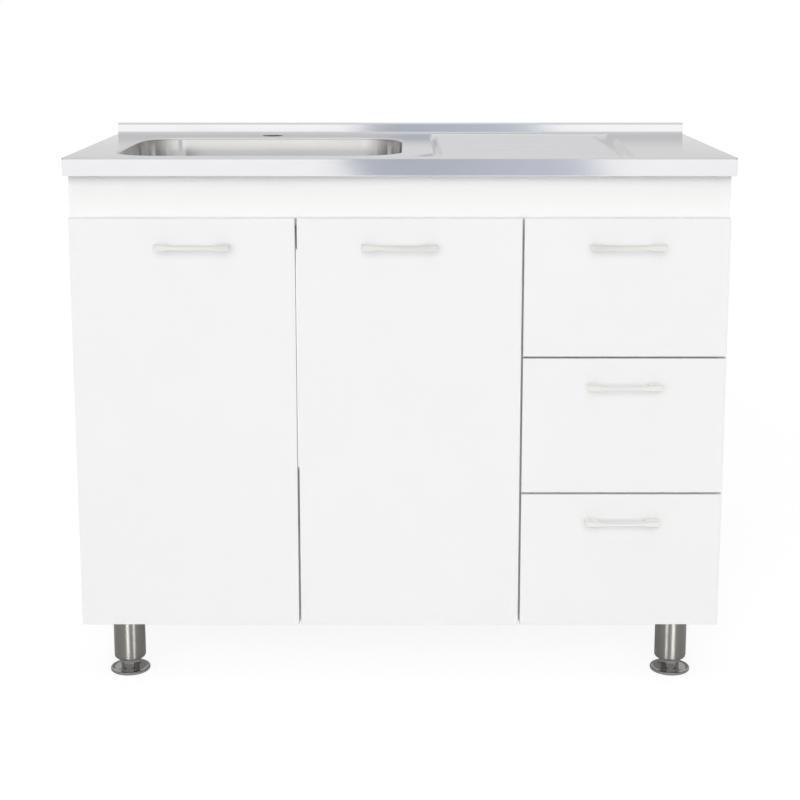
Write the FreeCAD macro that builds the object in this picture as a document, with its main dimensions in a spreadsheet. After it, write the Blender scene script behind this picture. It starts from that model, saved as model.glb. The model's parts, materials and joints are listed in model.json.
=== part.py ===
"""Kitchen sink unit: a pressed stainless steel sink top on a white three-bay base cabinet.

The bowl is on the left and the ribbed drainer on the right. Below the top are a fascia rail,
two doors and three drawers with bow handles, and four steel legs with screw-out feet.

Frame: millimetres, +Z up, the front faces -Y. The origin lies on the floor, under the middle
of the unit's overall box, so the handles' reach counts in its depth.
"""
import FreeCAD, Part
import Sketcher
import math
import os

document = FreeCAD.newDocument("SinkUnit")
parts = []

# ---------------------------------------------------------------- driving dimensions

SIZES = [
    # Sink top
    ("bench_width", 1000, "width over the side lips"),
    ("bench_depth", 500, "depth from the front lip to the back of the upstand"),
    ("bench_height", 832, "top of the deck above the floor"),
    ("sheet", 1, "stainless sheet thickness"),
    ("lip_height", 28, "height of the front and side lips"),
    ("edge_radius", 3, "outer bend radius of the lips and the upstand"),
    ("upstand_height", 18, "upstand above the deck"),
    ("upstand_fold", 10, "depth of the folded upstand"),
    ("tap_hole_radius", 17.5, "tap hole"),
    ("tap_left", 278.5, "tap hole centre from the left lip"),
    ("tap_back", 71, "tap hole centre from the back"),
    # Bowl
    ("bowl_left", 66, "left lip to the bowl opening"),
    ("bowl_front", 32, "front lip to the bowl opening"),
    ("bowl_length", 436, "bowl opening along the unit"),
    ("bowl_back", 120, "bowl opening to the back of the upstand"),
    ("bowl_corner", 70, "corner radius of the bowl opening"),
    ("bowl_deep", 150, "deck to bowl floor"),
    ("bowl_draft", 4, "slope of the bowl walls in degrees"),
    ("bowl_floor_radius", 35, "radius where wall meets floor inside the bowl"),
    ("bowl_flange", 8, "flange welded under the deck"),
    # Drainer
    ("drainer_land", 48, "plain strip between bowl and drainer"),
    ("drainer_front", 20, "front lip to drainer"),
    ("drainer_back", 25, "back to drainer"),
    ("drainer_right_front", 148, "right lip to drainer at its front corner"),
    ("drainer_right_back", 128, "right lip to drainer at its back corner"),
    ("drainer_deep", 5, "depth of the drainer recess"),
    ("rib_count", 16, "number of drainer ribs"),
    ("rib_first", 30, "drainer front edge to the first rib"),
    ("rib_last", 35, "last rib to the drainer's back edge"),
    ("rib_width", 9, "rib width at its foot"),
    ("rib_height", 2.5, "rib height"),
    ("rib_draft", 20, "slope of the rib sides in degrees"),
    ("rib_margin", 12, "rib ends to the edge of the drainer"),
    # Corner cleats that hold the sink top to the cabinet
    ("cleat_leg", 20, "leg of the angle cleat"),
    ("cleat_length", 40, "length of the angle cleat"),
    ("cleat_thickness", 2, "thickness of the angle cleat"),
    ("cleat_inset", 60, "carcass front or back to the cleat"),
    # Waste fitting
    ("waste_hole_radius", 45, "hole in the bowl floor"),
    ("waste_rim_radius", 56, "outer rim of the strainer flange"),
    ("waste_rim", 1.5, "thickness of the strainer flange's rim"),
    ("waste_cup_radius", 43, "outside of the strainer cup"),
    ("waste_cup_deep", 38, "depth of the strainer cup"),
    ("waste_cup_wall", 1.2, "wall of the strainer cup"),
    ("waste_slot_radius", 5, "drain holes in the strainer cup"),
    ("waste_slot_ring", 24, "radius of the ring of drain holes"),
    ("seal_thickness", 3, "rubber seal under the bowl"),
    ("waste_body_radius", 58, "flange of the waste body"),
    ("waste_body_wall", 3, "wall of the waste body"),
    ("waste_body_deep", 52, "depth of the waste body"),
    ("tail_radius", 20, "outside of the outlet tail"),
    ("tail_length", 45, "length of the outlet tail"),
    ("waste_hub_radius", 7, "hub for the clamping screw"),
    ("waste_hub_height", 11, "height of that hub"),
    ("waste_spoke_reach", 28, "spokes that carry the hub, from its centre"),
    ("waste_spoke_height", 8, "height of the spokes"),
    ("waste_gap", 1, "free space between the waste fitting's shells"),
    ("clamp_screw_radius", 3, "clamping screw"),
    ("clamp_head_radius", 6, "head of the clamping screw"),
    ("clamp_head_height", 3, "head height of the clamping screw"),
    ("clamp_thread_gap", 0.2, "free space round the clamping screw"),
    ("basket_gap", 2.5, "space between lift-out strainer and cup"),
    ("basket_wall", 1.2, "wall of the lift-out strainer"),
    ("basket_seat_gap", 0.3, "gap under the strainer's stopper"),
    ("basket_stopper", 3, "height of the rubber stopper"),
    ("basket_stopper_radius", 10, "rubber stopper"),
    ("basket_knob_radius", 9, "knob of the lift-out strainer"),
    ("basket_knob_height", 5, "height of the knob"),
    ("basket_post_radius", 3, "post of the lift-out strainer"),
    ("basket_hole_radius", 3, "drain holes of the lift-out strainer"),
    ("basket_hole_ring", 22, "radius of its ring of drain holes"),
    # Carcass
    ("board", 16, "melamine-faced board thickness"),
    ("hardboard", 3, "back of the drawer bay"),
    ("side_overhang", 5, "side lip to the side panel"),
    ("back_gap", 8.5, "back lip to the carcass"),
    ("front_setback", 4, "front lip to the faces of the fronts"),
    ("bumper_gap", 1.5, "closed fronts to the carcass"),
    ("front_rail_height", 99, "fascia rail"),
    ("rail_relief", 1.5, "bowl to the hollow in the back of the fascia rail"),
    ("rear_rail_height", 100, "rear rails"),
    # Fronts
    ("front_inset", 1.25, "side panel to the edge of the fronts"),
    ("front_lift", 0.5, "underside of the carcass to the lower edge of the fronts"),
    ("front_drop", 91.5, "deck to the top of the fronts"),
    ("front_gap", 3, "gap between fronts"),
    ("door_width", 337, "width of each door"),
    ("front_edge", 1, "rounding of the fronts' edge band"),
    # Handles
    ("handle_length", 112, "overall length"),
    ("handle_spacing", 96, "distance between screw centres"),
    ("handle_reach", 26, "reach in front of the door"),
    ("handle_post", 19, "width of the feet"),
    ("handle_bar", 7, "depth of the bar"),
    ("handle_tall", 9, "height of the bar"),
    ("handle_bow", 3, "bow of the bar"),
    ("handle_edge", 2, "rounding of the front edges"),
    ("handle_drop", 40.5, "top of a front to its handle"),
    ("handle_from_hinge", 184, "hinge edge of a door to its handle"),
    ("handle_screw_radius", 2, "handle screw"),
    ("handle_screw_bite", 10, "handle screw inside the handle"),
    ("handle_head_radius", 4, "head of the handle screw"),
    ("handle_head_height", 2.5, "head height of the handle screw"),
    # Concealed hinges
    ("hinge_inset", 98, "top or bottom of a door to the hinge"),
    ("hinge_cup_edge", 22.5, "door edge to the centre of the cup"),
    ("hinge_cup_radius", 17.5, "hinge cup"),
    ("hinge_cup_deep", 11.5, "depth of the cup bore"),
    ("hinge_cup_wall", 1, "wall of the cup"),
    ("hinge_flange_height", 52, "cup flange along the door"),
    ("hinge_flange_width", 22, "cup flange across the door"),
    ("hinge_flange_edge", 13, "door edge to the cup flange"),
    ("hinge_arm_width", 12, "arm along the door"),
    ("hinge_arm_thickness", 8, "arm across the opening"),
    ("hinge_arm_length", 62, "arm from its nose to its back end"),
    ("hinge_nose_depth", 8, "door face to the arm's nose"),
    ("hinge_nose_edge", 17, "door edge to the arm's nose"),
    ("hinge_plate_height", 48, "mounting plate along the panel"),
    ("hinge_plate_depth", 20, "mounting plate front to back"),
    ("hinge_plate_setback", 28, "carcass front to the mounting plate"),
    ("hinge_screw_spread", 32, "distance between the plate's screws"),
    # Drawers
    ("runner_short", 20, "how much shorter than the carcass the runners are"),
    ("drawer_side_height", 86, "height of the steel drawer sides"),
    ("drawer_lift", 30, "bottom of a front to its runner"),
    ("drawer_wall", 1.5, "steel of the drawer sides"),
    ("drawer_top_fold", 11, "fold along the top of a drawer side"),
    ("drawer_bottom_fold", 12, "fold under the drawer bottom"),
    ("drawer_fit", 0.2, "gap beside the boards inside a drawer"),
    ("drawer_side_gap", 12.5, "bay wall to drawer side"),
    ("glide_gap", 2, "bay wall to the glide of a drawer side"),
    ("runner_web", 1.2, "steel of the runners"),
    ("runner_height", 26, "height of the cabinet runner"),
    ("runner_shelf", 11, "lower flange of the cabinet runner"),
    ("runner_lip", 5, "upper flange of the cabinet runner"),
    ("runner_air", 0.3, "running gap of the glide in its runner"),
    # Fixings
    ("fixing_radius", 2.5, "carcass screw"),
    ("fixing_length", 50, "length of the carcass screw"),
    ("fixing_head_radius", 4.5, "head of the carcass screw"),
    ("fixing_head_height", 3, "head height of the carcass screw"),
    ("fixing_gap", 0.1, "gap round screws in their holes"),
    ("fixing_inset", 60, "carcass front or back to a screw"),
    ("cap_radius", 6.5, "cover cap"),
    ("cap_height", 1, "height of the cover cap"),
    ("wood_screw_radius", 1.75, "screw of hinge plates and leg plates"),
    ("wood_screw_length", 12, "length of that screw"),
    ("wood_head_radius", 3.5, "head of that screw"),
    ("wood_head_height", 2, "head height of that screw"),
    # Legs and feet
    ("leg_height", 104, "floor to the carcass"),
    ("leg_inset", 60, "carcass side and front to a leg's centre"),
    ("leg_radius", 25, "leg tube"),
    ("leg_wall", 2, "wall of the leg tube"),
    ("leg_bottom", 21, "floor to the bottom of the leg tube"),
    ("leg_rounding", 4, "rounding of the tube's lower edge"),
    ("leg_plate", 3, "thickness of the leg plate"),
    ("leg_plate_side", 72, "side of the square leg plate"),
    ("leg_screw_inset", 8, "edge of the leg plate to its screws"),
    ("foot_radius", 31.5, "foot disc"),
    ("foot_height", 5, "height of the foot disc"),
    ("foot_bevel", 1.5, "bevel of the foot disc"),
    ("foot_collar_flats", 26, "hexagon collar across its flats"),
    ("foot_stop_gap", 0.3, "collar to the tube when screwed right in"),
    ("nut_radius", 10, "nut inside the leg tube"),
    ("nut_height", 10, "height of that nut"),
    ("stem_radius", 5, "threaded stem"),
    ("stem_length", 70, "stem above the collar"),
    ("stem_gap", 0.05, "running gap of the stem in its nut"),
]

# Places that several pieces share, worked out from the sizes.
PLACES = [
    ("lip_front", "-(Size.bench_depth - Size.handle_reach + Size.front_setback) / 2"),
    ("bench_back", ".lip_front + Size.bench_depth"),
    ("bench_left", "-Size.bench_width / 2"),
    ("deck_under", "Size.bench_height - Size.sheet"),
    ("bowl_width", "Size.bench_depth - Size.bowl_front - Size.bowl_back"),
    ("bowl_x", ".bench_left + Size.bowl_left + Size.bowl_length / 2"),
    ("bowl_y", ".lip_front + Size.bowl_front + .bowl_width / 2"),
    ("bowl_floor", "Size.bench_height - Size.bowl_deep"),
    ("bowl_under", ".bowl_floor - Size.sheet"),
    ("drainer_length", "Size.bench_depth - Size.drainer_front - Size.drainer_back"),
    ("rib_pitch", "(.drainer_length - Size.rib_first - Size.rib_last) / (Size.rib_count - 1)"),
    ("front_face", ".lip_front + Size.front_setback"),
    ("front_back", ".front_face + Size.board"),
    ("carcass_front", ".front_back + Size.bumper_gap"),
    ("carcass_back", ".bench_back - Size.back_gap"),
    ("carcass_depth", ".carcass_back - .carcass_front"),
    ("rail_front", ".carcass_back - Size.board"),
    ("side_outer", "Size.bench_width / 2 - Size.side_overhang"),
    ("side_inner", ".side_outer - Size.board"),
    ("floor_top", "Size.leg_height + Size.board"),
    ("rail_top", ".deck_under - Size.drainer_deep"),
    ("front_rail_bottom", ".rail_top - Size.front_rail_height"),
    ("rear_rail_bottom", ".rail_top - Size.rear_rail_height"),
    ("fronts_width", "2 * (.side_outer - Size.front_inset)"),
    ("fronts_left", "-.fronts_width / 2"),
    ("centre_door_left", ".fronts_left + Size.door_width + Size.front_gap"),
    ("drawers_left", ".centre_door_left + Size.door_width + Size.front_gap"),
    ("drawers_width", ".fronts_width - 2 * (Size.door_width + Size.front_gap)"),
    ("fronts_bottom", "Size.leg_height + Size.front_lift"),
    ("front_height", "Size.bench_height - Size.front_drop - .fronts_bottom"),
    ("drawer_front_height", "(.front_height - 2 * Size.front_gap) / 3"),
    ("divider_left", ".drawers_left - Size.front_gap / 2 - Size.board / 2"),
    ("divider_right", ".divider_left + Size.board"),
    ("centre_door_right", ".centre_door_left + Size.door_width"),
    ("drawer_length", ".carcass_depth - Size.runner_short"),
]


def fill_sheets():
    """Write the driving dimensions and the shared places into two sheets."""
    sizes = document.addObject("Spreadsheet::Sheet", "Size")
    for row, (alias, number, note) in enumerate(SIZES, start=1):
        sizes.set(f"A{row}", alias)
        sizes.set(f"B{row}", str(number))
        sizes.set(f"C{row}", note)
        sizes.setAlias(f"B{row}", alias)
    document.recompute()
    places = document.addObject("Spreadsheet::Sheet", "At")
    for row, (alias, formula) in enumerate(PLACES, start=1):
        places.set(f"A{row}", alias)
        plain = formula.replace(" .", " ").replace("(.", "(").replace("-.", "-").lstrip(".")
        places.set(f"B{row}", "=" + plain)
        places.setAlias(f"B{row}", alias)
    document.recompute()


fill_sheets()
ruler = document.addObject("App::FeaturePython", "Ruler")


def number(formula):
    """The present value of a formula."""
    return float(ruler.evalExpression(formula))


# ---------------------------------------------------------------- Part shapes

AXES = {
    "+Z": FreeCAD.Rotation(),
    "-Z": FreeCAD.Rotation(FreeCAD.Vector(1, 0, 0), 180),
    "+X": FreeCAD.Rotation(FreeCAD.Vector(0, 1, 0), 90),
    "-X": FreeCAD.Rotation(FreeCAD.Vector(0, 1, 0), -90),
    "+Y": FreeCAD.Rotation(FreeCAD.Vector(1, 0, 0), -90),
    "-Y": FreeCAD.Rotation(FreeCAD.Vector(1, 0, 0), 90),
}


def place(item, x, y, z, axis="+Z"):
    """Put an object at a point given by formulas, with its own Z turned to an axis."""
    item.Placement = FreeCAD.Placement(FreeCAD.Vector(), AXES[axis])
    item.setExpression("Placement.Base.x", x)
    item.setExpression("Placement.Base.y", y)
    item.setExpression("Placement.Base.z", z)
    return item


def block(name, x, y, z, length, width, height):
    """A box from its low corner and its sizes along X, Y and Z."""
    item = document.addObject("Part::Box", name)
    item.setExpression("Length", length)
    item.setExpression("Width", width)
    item.setExpression("Height", height)
    return place(item, x, y, z)


def rod(name, x, y, z, axis, radius, length):
    """A cylinder that starts at a point and runs along an axis."""
    item = document.addObject("Part::Cylinder", name)
    item.setExpression("Radius", radius)
    item.setExpression("Height", length)
    return place(item, x, y, z, axis)


def screw(name, x, y, z, axis, head_radius, head_height, radius, length):
    """A screw that goes in along an axis, from the outer face of its head."""
    head = rod(name + "_head", x, y, z, axis, head_radius, head_height)
    shank = rod(name + "_shank", x, y, z, axis, radius, length)
    return joined(name, [head, shank])


def joined(name, pieces):
    """One solid out of pieces that touch."""
    item = document.addObject("Part::MultiFuse", name)
    item.Shapes = pieces
    item.Refine = True
    return item


def loose(name, pieces):
    """Separate solids kept together under one name."""
    item = document.addObject("Part::Compound", name)
    item.Links = pieces
    return item


def cut(name, base, tools):
    """A piece with every tool cut out of it."""
    item = document.addObject("Part::Cut", name)
    item.Base = base
    item.Tool = tools[0] if len(tools) == 1 else loose(name + "_tools", tools)
    return item


def keep(item, label):
    """Name a finished sub-part; its label is its file's name."""
    item.Label = label
    parts.append(item)
    return item


# ---------------------------------------------------------------- sketches and bodies


def new_body(name, x, y, z, axis="+Z"):
    """A body whose own origin lies at a point given by formulas."""
    return place(document.addObject("PartDesign::Body", name), x, y, z, axis)


def sketch_on(body, plane, name, offset=None):
    """A sketch on one of the body's own origin planes, moved along its normal."""
    sketch = body.newObject("Sketcher::SketchObject", body.Name + "_" + name)
    support = [item for item in body.Origin.OriginFeatures if item.Role == plane]
    sketch.AttachmentSupport = [(support[0], "")]
    sketch.MapMode = "FlatFace"
    if offset:
        sketch.setExpression("AttachmentOffset.Base.z", offset)
    return sketch


def hold(sketch, kind, axis, geometry, point, formula):
    """Tie one coordinate of a point to a formula, or to the sketch's axis for 0."""
    if formula == "0":
        sketch.addConstraint(Sketcher.Constraint("PointOnObject", geometry, point, axis))
        return
    constraint = Sketcher.Constraint(kind, -1, 1, geometry, point, number(formula))
    index = sketch.addConstraint(constraint)
    title = f"held_{index}"
    sketch.renameConstraint(index, title)
    sketch.setExpression("Constraints." + title, formula)


def circle(sketch, x, y, radius):
    """A circle whose centre and radius are formulas."""
    centre = FreeCAD.Vector(number(x), number(y), 0)
    shape = Part.Circle(centre, FreeCAD.Vector(0, 0, 1), number(radius))
    geometry = sketch.addGeometry(shape, False)
    hold(sketch, "DistanceX", -2, geometry, 3, x)
    hold(sketch, "DistanceY", -1, geometry, 3, y)
    hold_radius(sketch, geometry, radius)


def hold_radius(sketch, geometry, formula):
    """Tie the radius of a circle or an arc to a formula."""
    constraint = Sketcher.Constraint("Radius", geometry, number(formula))
    index = sketch.addConstraint(constraint)
    title = f"radius_{index}"
    sketch.renameConstraint(index, title)
    sketch.setExpression("Constraints." + title, formula)


def arc_between(start, end, radius, centre_on_left):
    """The shorter arc from start to end with its centre on the left or right of that way."""
    chord = end - start
    half = chord.Length / 2
    rise = math.sqrt(max(radius * radius - half * half, 0))
    side = FreeCAD.Vector(-chord.y, chord.x, 0).normalize()
    if not centre_on_left:
        side = side * -1
    centre = (start + end) * 0.5 + side * rise
    first, last = (start, end) if centre_on_left else (end, start)
    begin = math.atan2(first.y - centre.y, first.x - centre.x)
    finish = math.atan2(last.y - centre.y, last.x - centre.x)
    if finish < begin:
        finish += 2 * math.pi
    ring = Part.Circle(centre, FreeCAD.Vector(0, 0, 1), radius)
    return Part.ArcOfCircle(ring, begin, finish)


def outline(sketch, corners):
    """A closed outline through corners (x, y) or (x, y, radius, side).

    A corner with a radius starts an arc to the next corner, whose centre lies on the
    named side, left or right, of that way. All coordinates and radii are formulas.
    """
    points = [FreeCAD.Vector(number(corner[0]), number(corner[1]), 0) for corner in corners]
    ends = []
    for index, corner in enumerate(corners):
        start = points[index]
        end = points[(index + 1) % len(points)]
        if len(corner) == 2:
            geometry = sketch.addGeometry(Part.LineSegment(start, end), False)
            ends.append((geometry, 1, 2))
            continue
        on_left = corner[3] == "left"
        arc = arc_between(start, end, number(corner[2]), on_left)
        geometry = sketch.addGeometry(arc, False)
        ends.append((geometry, 1, 2) if on_left else (geometry, 2, 1))
        hold_radius(sketch, geometry, corner[2])
    for index, corner in enumerate(corners):
        geometry, first, last = ends[index]
        following, its_first, its_last = ends[(index + 1) % len(ends)]
        joint = Sketcher.Constraint("Coincident", geometry, last, following, its_first)
        sketch.addConstraint(joint)
        hold(sketch, "DistanceX", -2, geometry, first, corner[0])
        hold(sketch, "DistanceY", -1, geometry, first, corner[1])


def rectangle(sketch, left, low, width, height):
    """An upright rectangle from its low left corner."""
    right = f"{left} + {width}" if left != "0" else width
    high = f"{low} + {height}" if low != "0" else height
    outline(sketch, [(left, low), (right, low), (right, high), (left, high)])


def rounded_rectangle(sketch, length, width, radius):
    """A rectangle about the sketch's origin with round corners."""
    side = f"({length}) / 2"
    end = f"({width}) / 2"
    outline(sketch, [
        (f"-{side} + {radius}", f"-{end}"),
        (f"{side} - ({radius})", f"-{end}", radius, "left"),
        (side, f"-{end} + {radius}"),
        (side, f"{end} - ({radius})", radius, "left"),
        (f"{side} - ({radius})", end),
        (f"-{side} + {radius}", end, radius, "left"),
        (f"-{side}", f"{end} - ({radius})"),
        (f"-{side}", f"-{end} + {radius}", radius, "left"),
    ])


def pad(body, sketch, length, backwards=False, both_ways=False, draft=None):
    """Raise a sketch by a length."""
    feature = body.newObject("PartDesign::Pad", sketch.Name + "_pad")
    feature.Profile = sketch
    feature.Reversed = backwards
    feature.Midplane = both_ways
    feature.setExpression("Length", length)
    if draft:
        feature.setExpression("TaperAngle", draft)
    sketch.Visibility = False
    document.recompute()
    return feature


def pocket(body, sketch, length, backwards=False):
    """Sink a sketch into the body, and make sure that it takes something away."""
    before = body.Shape.Volume
    feature = body.newObject("PartDesign::Pocket", sketch.Name + "_pocket")
    feature.Profile = sketch
    feature.Reversed = backwards
    feature.setExpression("Length", length)
    document.recompute()
    if not body.Shape.Volume < before:
        raise RuntimeError(feature.Name + " cuts nothing")
    return feature


def turned(body, name, corners):
    """A profile of (radius, height) corners turned about the body's Z axis."""
    sketch = sketch_on(body, "XZ_Plane", name)
    outline(sketch, corners)
    feature = body.newObject("PartDesign::Revolution", sketch.Name + "_turn")
    feature.Profile = sketch
    feature.ReferenceAxis = (sketch, ["V_Axis"])
    feature.Angle = 360
    document.recompute()
    return feature


def edges(feature, test):
    """Names of the feature's edges whose middle passes a test."""
    names = []
    for index, edge in enumerate(feature.Shape.Edges, start=1):
        middle = edge.valueAt((edge.FirstParameter + edge.LastParameter) / 2)
        if test(middle):
            names.append(f"Edge{index}")
    return names


def faces(feature, test):
    """Names of the feature's faces whose centre passes a test."""
    named = enumerate(feature.Shape.Faces, start=1)
    return [f"Face{index}" for index, face in named if test(face.CenterOfMass)]


def rounded(body, feature, names, radius):
    """Round the named edges or faces of a feature."""
    fillet = body.newObject("PartDesign::Fillet", feature.Name + "_round")
    fillet.Base = (feature, names)
    fillet.setExpression("Radius", radius)
    document.recompute()
    return fillet


def near(one, other):
    """Whether two lengths are the same to a hundredth of a millimetre."""
    return abs(one - other) < 0.01


# ---------------------------------------------------------------- sink top

# Inside the sink top's body, y counts from the front lip and z from the deck.


def drainer_outline(sketch, grow):
    """The drainer's edge: square but for the arc that runs round the bowl's corner."""
    centre_x = "At.bowl_x + Size.bowl_length / 2 - Size.bowl_corner"
    centre_y = "Size.bowl_front + Size.bowl_corner"
    radius = f"Size.bowl_corner + Size.drainer_land - ({grow})"
    front = f"Size.drainer_front - ({grow})"
    back = f"Size.bench_depth - Size.drainer_back + {grow}"
    start = f"{centre_x} + sqrt(pow({radius}; 2) - pow({centre_y} - ({front}); 2))"
    outline(sketch, [
        (start, front),
        (f"Size.bench_width / 2 - Size.drainer_right_front + {grow}", front),
        (f"Size.bench_width / 2 - Size.drainer_right_back + {grow}", back),
        (f"{centre_x} + {radius}", back),
        (f"{centre_x} + {radius}", centre_y, radius, "right"),
    ])


def rib_outline(sketch, index):
    """One drainer rib's foot: it starts beside the arc and ends short of the right edge."""
    centre_x = "At.bowl_x + Size.bowl_length / 2 - Size.bowl_corner"
    centre_y = "(Size.bowl_front + Size.bowl_corner)"
    radius = "(Size.bowl_corner + Size.drainer_land + Size.rib_margin)"
    middle = f"Size.drainer_front + Size.rib_first + {index} * At.rib_pitch"
    drop = f"max({centre_y} - ({middle}); 0)"
    left = f"{centre_x} + sqrt(pow({radius}; 2) - pow({drop}; 2))"
    right = "Size.bench_width / 2 - Size.drainer_right_front - Size.rib_margin"
    low = f"{middle} - Size.rib_width / 2"
    high = f"{middle} + Size.rib_width / 2"
    outline(sketch, [(left, low), (right, low), (right, high), (left, high)])


def make_sink_deck():
    """The pressed sheet: deck, lips, folded upstand, tap hole, bowl opening and drainer."""
    body = new_body("deck", "0", "At.lip_front", "Size.bench_height")
    plan = sketch_on(body, "XY_Plane", "plan")
    half = "Size.bench_width / 2"
    outline(plan, [
        (f"-{half}", "0"),
        (half, "0"),
        (half, "Size.bench_depth"),
        (f"-{half}", "Size.bench_depth"),
    ])
    tray = pad(body, plan, "Size.lip_height", backwards=True)
    side = number(half)
    back = number("Size.bench_depth")

    def bent_edge(spot):
        corner = near(spot.y, 0) and near(abs(spot.x), side)
        return corner or (near(spot.z, 0) and not near(spot.y, back))

    bent = rounded(body, tray, edges(tray, bent_edge), "Size.edge_radius")
    hollow = body.newObject("PartDesign::Thickness", "deck_hollow")
    low = number("-Size.lip_height")
    hollow.Base = (bent, faces(bent, lambda spot: near(spot.z, low)))
    hollow.setExpression("Value", "Size.sheet")
    hollow.Reversed = True
    document.recompute()
    add_upstand(body)
    add_drainer(body)
    add_openings(body)
    return keep(body, "sink_deck")


def add_upstand(body):
    """The sheet goes up at the back, folds over and comes down again; its ends are open."""
    section = sketch_on(body, "YZ_Plane", "upstand")
    back = "Size.bench_depth"
    front = f"{back} - Size.upstand_fold"
    top = "Size.upstand_height"
    bend = "Size.edge_radius"
    inner = "Size.edge_radius - Size.sheet"
    outline(section, [
        (front, "0"),
        (f"{front} + Size.sheet", "0"),
        (f"{front} + Size.sheet", f"{top} - {bend}", inner, "right"),
        (f"{front} + {bend}", f"{top} - Size.sheet"),
        (f"{back} - {bend}", f"{top} - Size.sheet", inner, "right"),
        (f"{back} - Size.sheet", f"{top} - {bend}"),
        (f"{back} - Size.sheet", "0"),
        (back, "0"),
        (back, f"{top} - {bend}", bend, "left"),
        (f"{back} - {bend}", top),
        (f"{front} + {bend}", top, bend, "left"),
        (front, f"{top} - {bend}"),
    ])
    pad(body, section, "Size.bench_width", both_ways=True)


def add_drainer(body):
    """The pressed recess right of the bowl, with its ribs running along the unit."""
    outer = sketch_on(body, "XY_Plane", "drainer_outside")
    drainer_outline(outer, "Size.sheet")
    pad(body, outer, "Size.drainer_deep + Size.sheet", backwards=True)
    inner = sketch_on(body, "XY_Plane", "drainer_inside")
    drainer_outline(inner, "0 * Size.sheet")
    pocket(body, inner, "Size.drainer_deep")
    ribs = sketch_on(body, "XY_Plane", "ribs", "-Size.drainer_deep")
    for index in range(int(number("Size.rib_count"))):
        rib_outline(ribs, index)
    pad(body, ribs, "Size.rib_height", draft="-Size.rib_draft")


def add_openings(body):
    """The bowl opening and the tap hole behind it."""
    opening = sketch_on(body, "XY_Plane", "opening")
    opening.setExpression("AttachmentOffset.Base.x", "At.bowl_x")
    opening.setExpression("AttachmentOffset.Base.y", "Size.bowl_front + At.bowl_width / 2")
    rounded_rectangle(opening, "Size.bowl_length", "At.bowl_width", "Size.bowl_corner")
    pocket(body, opening, "Size.sheet")
    tap = sketch_on(body, "XY_Plane", "tap")
    circle(tap, "At.bench_left + Size.tap_left", "Size.bench_depth - Size.tap_back",
           "Size.tap_hole_radius")
    pocket(body, tap, "Size.sheet")


# ---------------------------------------------------------------- bowl and waste fitting


def bowl_form(name, wall):
    """The bowl's inside, or its outside with a wall: sloped sides and a rounded floor."""
    body = new_body(name, "At.bowl_x", "At.bowl_y", "At.deck_under")
    rim = sketch_on(body, "XY_Plane", "rim")
    rounded_rectangle(rim, f"Size.bowl_length + 2 * {wall}", f"At.bowl_width + 2 * {wall}",
                      f"(Size.bowl_corner + {wall})")
    deep = f"Size.bowl_deep - Size.sheet + {wall}"
    sides = pad(body, rim, deep, backwards=True, draft="-Size.bowl_draft")
    low = -number(deep)
    rounded(body, sides, faces(sides, lambda spot: near(spot.z, low)),
            f"Size.bowl_floor_radius + {wall}")
    return body


def make_sink_bowl():
    """The deep-drawn bowl, hung from a flange welded under the deck."""
    outside = bowl_form("bowl_outside", "Size.sheet")
    flange = sketch_on(outside, "XY_Plane", "flange")
    grow = "Size.sheet + Size.bowl_flange"
    rounded_rectangle(flange, f"Size.bowl_length + 2 * ({grow})",
                      f"At.bowl_width + 2 * ({grow})", f"(Size.bowl_corner + {grow})")
    pad(outside, flange, "Size.sheet", backwards=True)
    inside = bowl_form("bowl_inside", "0 * Size.sheet")
    hole = rod("bowl_hole", "At.bowl_x", "At.bowl_y", "At.bowl_under - Size.sheet", "+Z",
               "Size.waste_hole_radius", "4 * Size.sheet")
    return keep(cut("bowl", outside, [inside, hole]), "sink_bowl")


def make_bench_cleats():
    """Four angle cleats in the corners, between the side panels and the deck."""
    cleats = []
    leg = "Size.cleat_leg"
    thin = "Size.cleat_thickness"
    front = "At.carcass_front + Size.cleat_inset"
    back = "At.carcass_back - Size.cleat_inset - Size.cleat_length"
    for side, low_x, wall_x in (
        ("left", "-At.side_inner", "-At.side_inner"),
        ("right", f"At.side_inner - {leg}", f"At.side_inner - {thin}"),
    ):
        for end, y in (("front", front), ("back", back)):
            name = f"cleat_{side}_{end}"
            shelf = block(name + "_shelf", low_x, y, f"At.deck_under - {thin}",
                          leg, "Size.cleat_length", thin)
            wall = block(name + "_wall", wall_x, y, f"At.deck_under - {leg}",
                         thin, "Size.cleat_length", leg)
            cleats.append(joined(name, [shelf, wall]))
    keep(loose("cleats", cleats), "bench_cleats")


# The waste fitting's bodies stand on the bowl's floor: height 0 is the floor's top face.


def make_waste_flange():
    """The strainer flange: a rim on the bowl's floor and a cup with drain holes."""
    body = new_body("waste_cup", "At.bowl_x", "At.bowl_y", "At.bowl_floor")
    outer = "Size.waste_cup_radius"
    inner = f"{outer} - Size.waste_cup_wall"
    low = "-Size.waste_cup_deep"
    bolt = "Size.clamp_screw_radius + Size.clamp_thread_gap"
    turned(body, "section", [
        (bolt, low),
        (outer, low),
        (outer, "0"),
        ("Size.waste_rim_radius", "0"),
        ("Size.waste_rim_radius - Size.waste_rim", "Size.waste_rim"),
        (inner, "Size.waste_rim"),
        (inner, f"{low} + Size.waste_rim"),
        (bolt, f"{low} + Size.waste_rim"),
    ])
    ring_of_holes(body, "Size.waste_slot_ring", "Size.waste_slot_radius", low,
                  "Size.waste_rim")
    return keep(body, "waste_flange")


def ring_of_holes(body, ring, radius, low, thick):
    """Six holes in a ring through a turned piece's floor."""
    first = sketch_on(body, "XY_Plane", "hole", f"{low} + {thick}")
    circle(first, ring, "0", radius)
    hole = pocket(body, first, thick)
    pattern = body.newObject("PartDesign::PolarPattern", body.Name + "_ring")
    pattern.Originals = [hole]
    pattern.Axis = (first, ["N_Axis"])
    pattern.Angle = 360
    pattern.Occurrences = 6
    body.Tip = pattern
    document.recompute()


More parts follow.
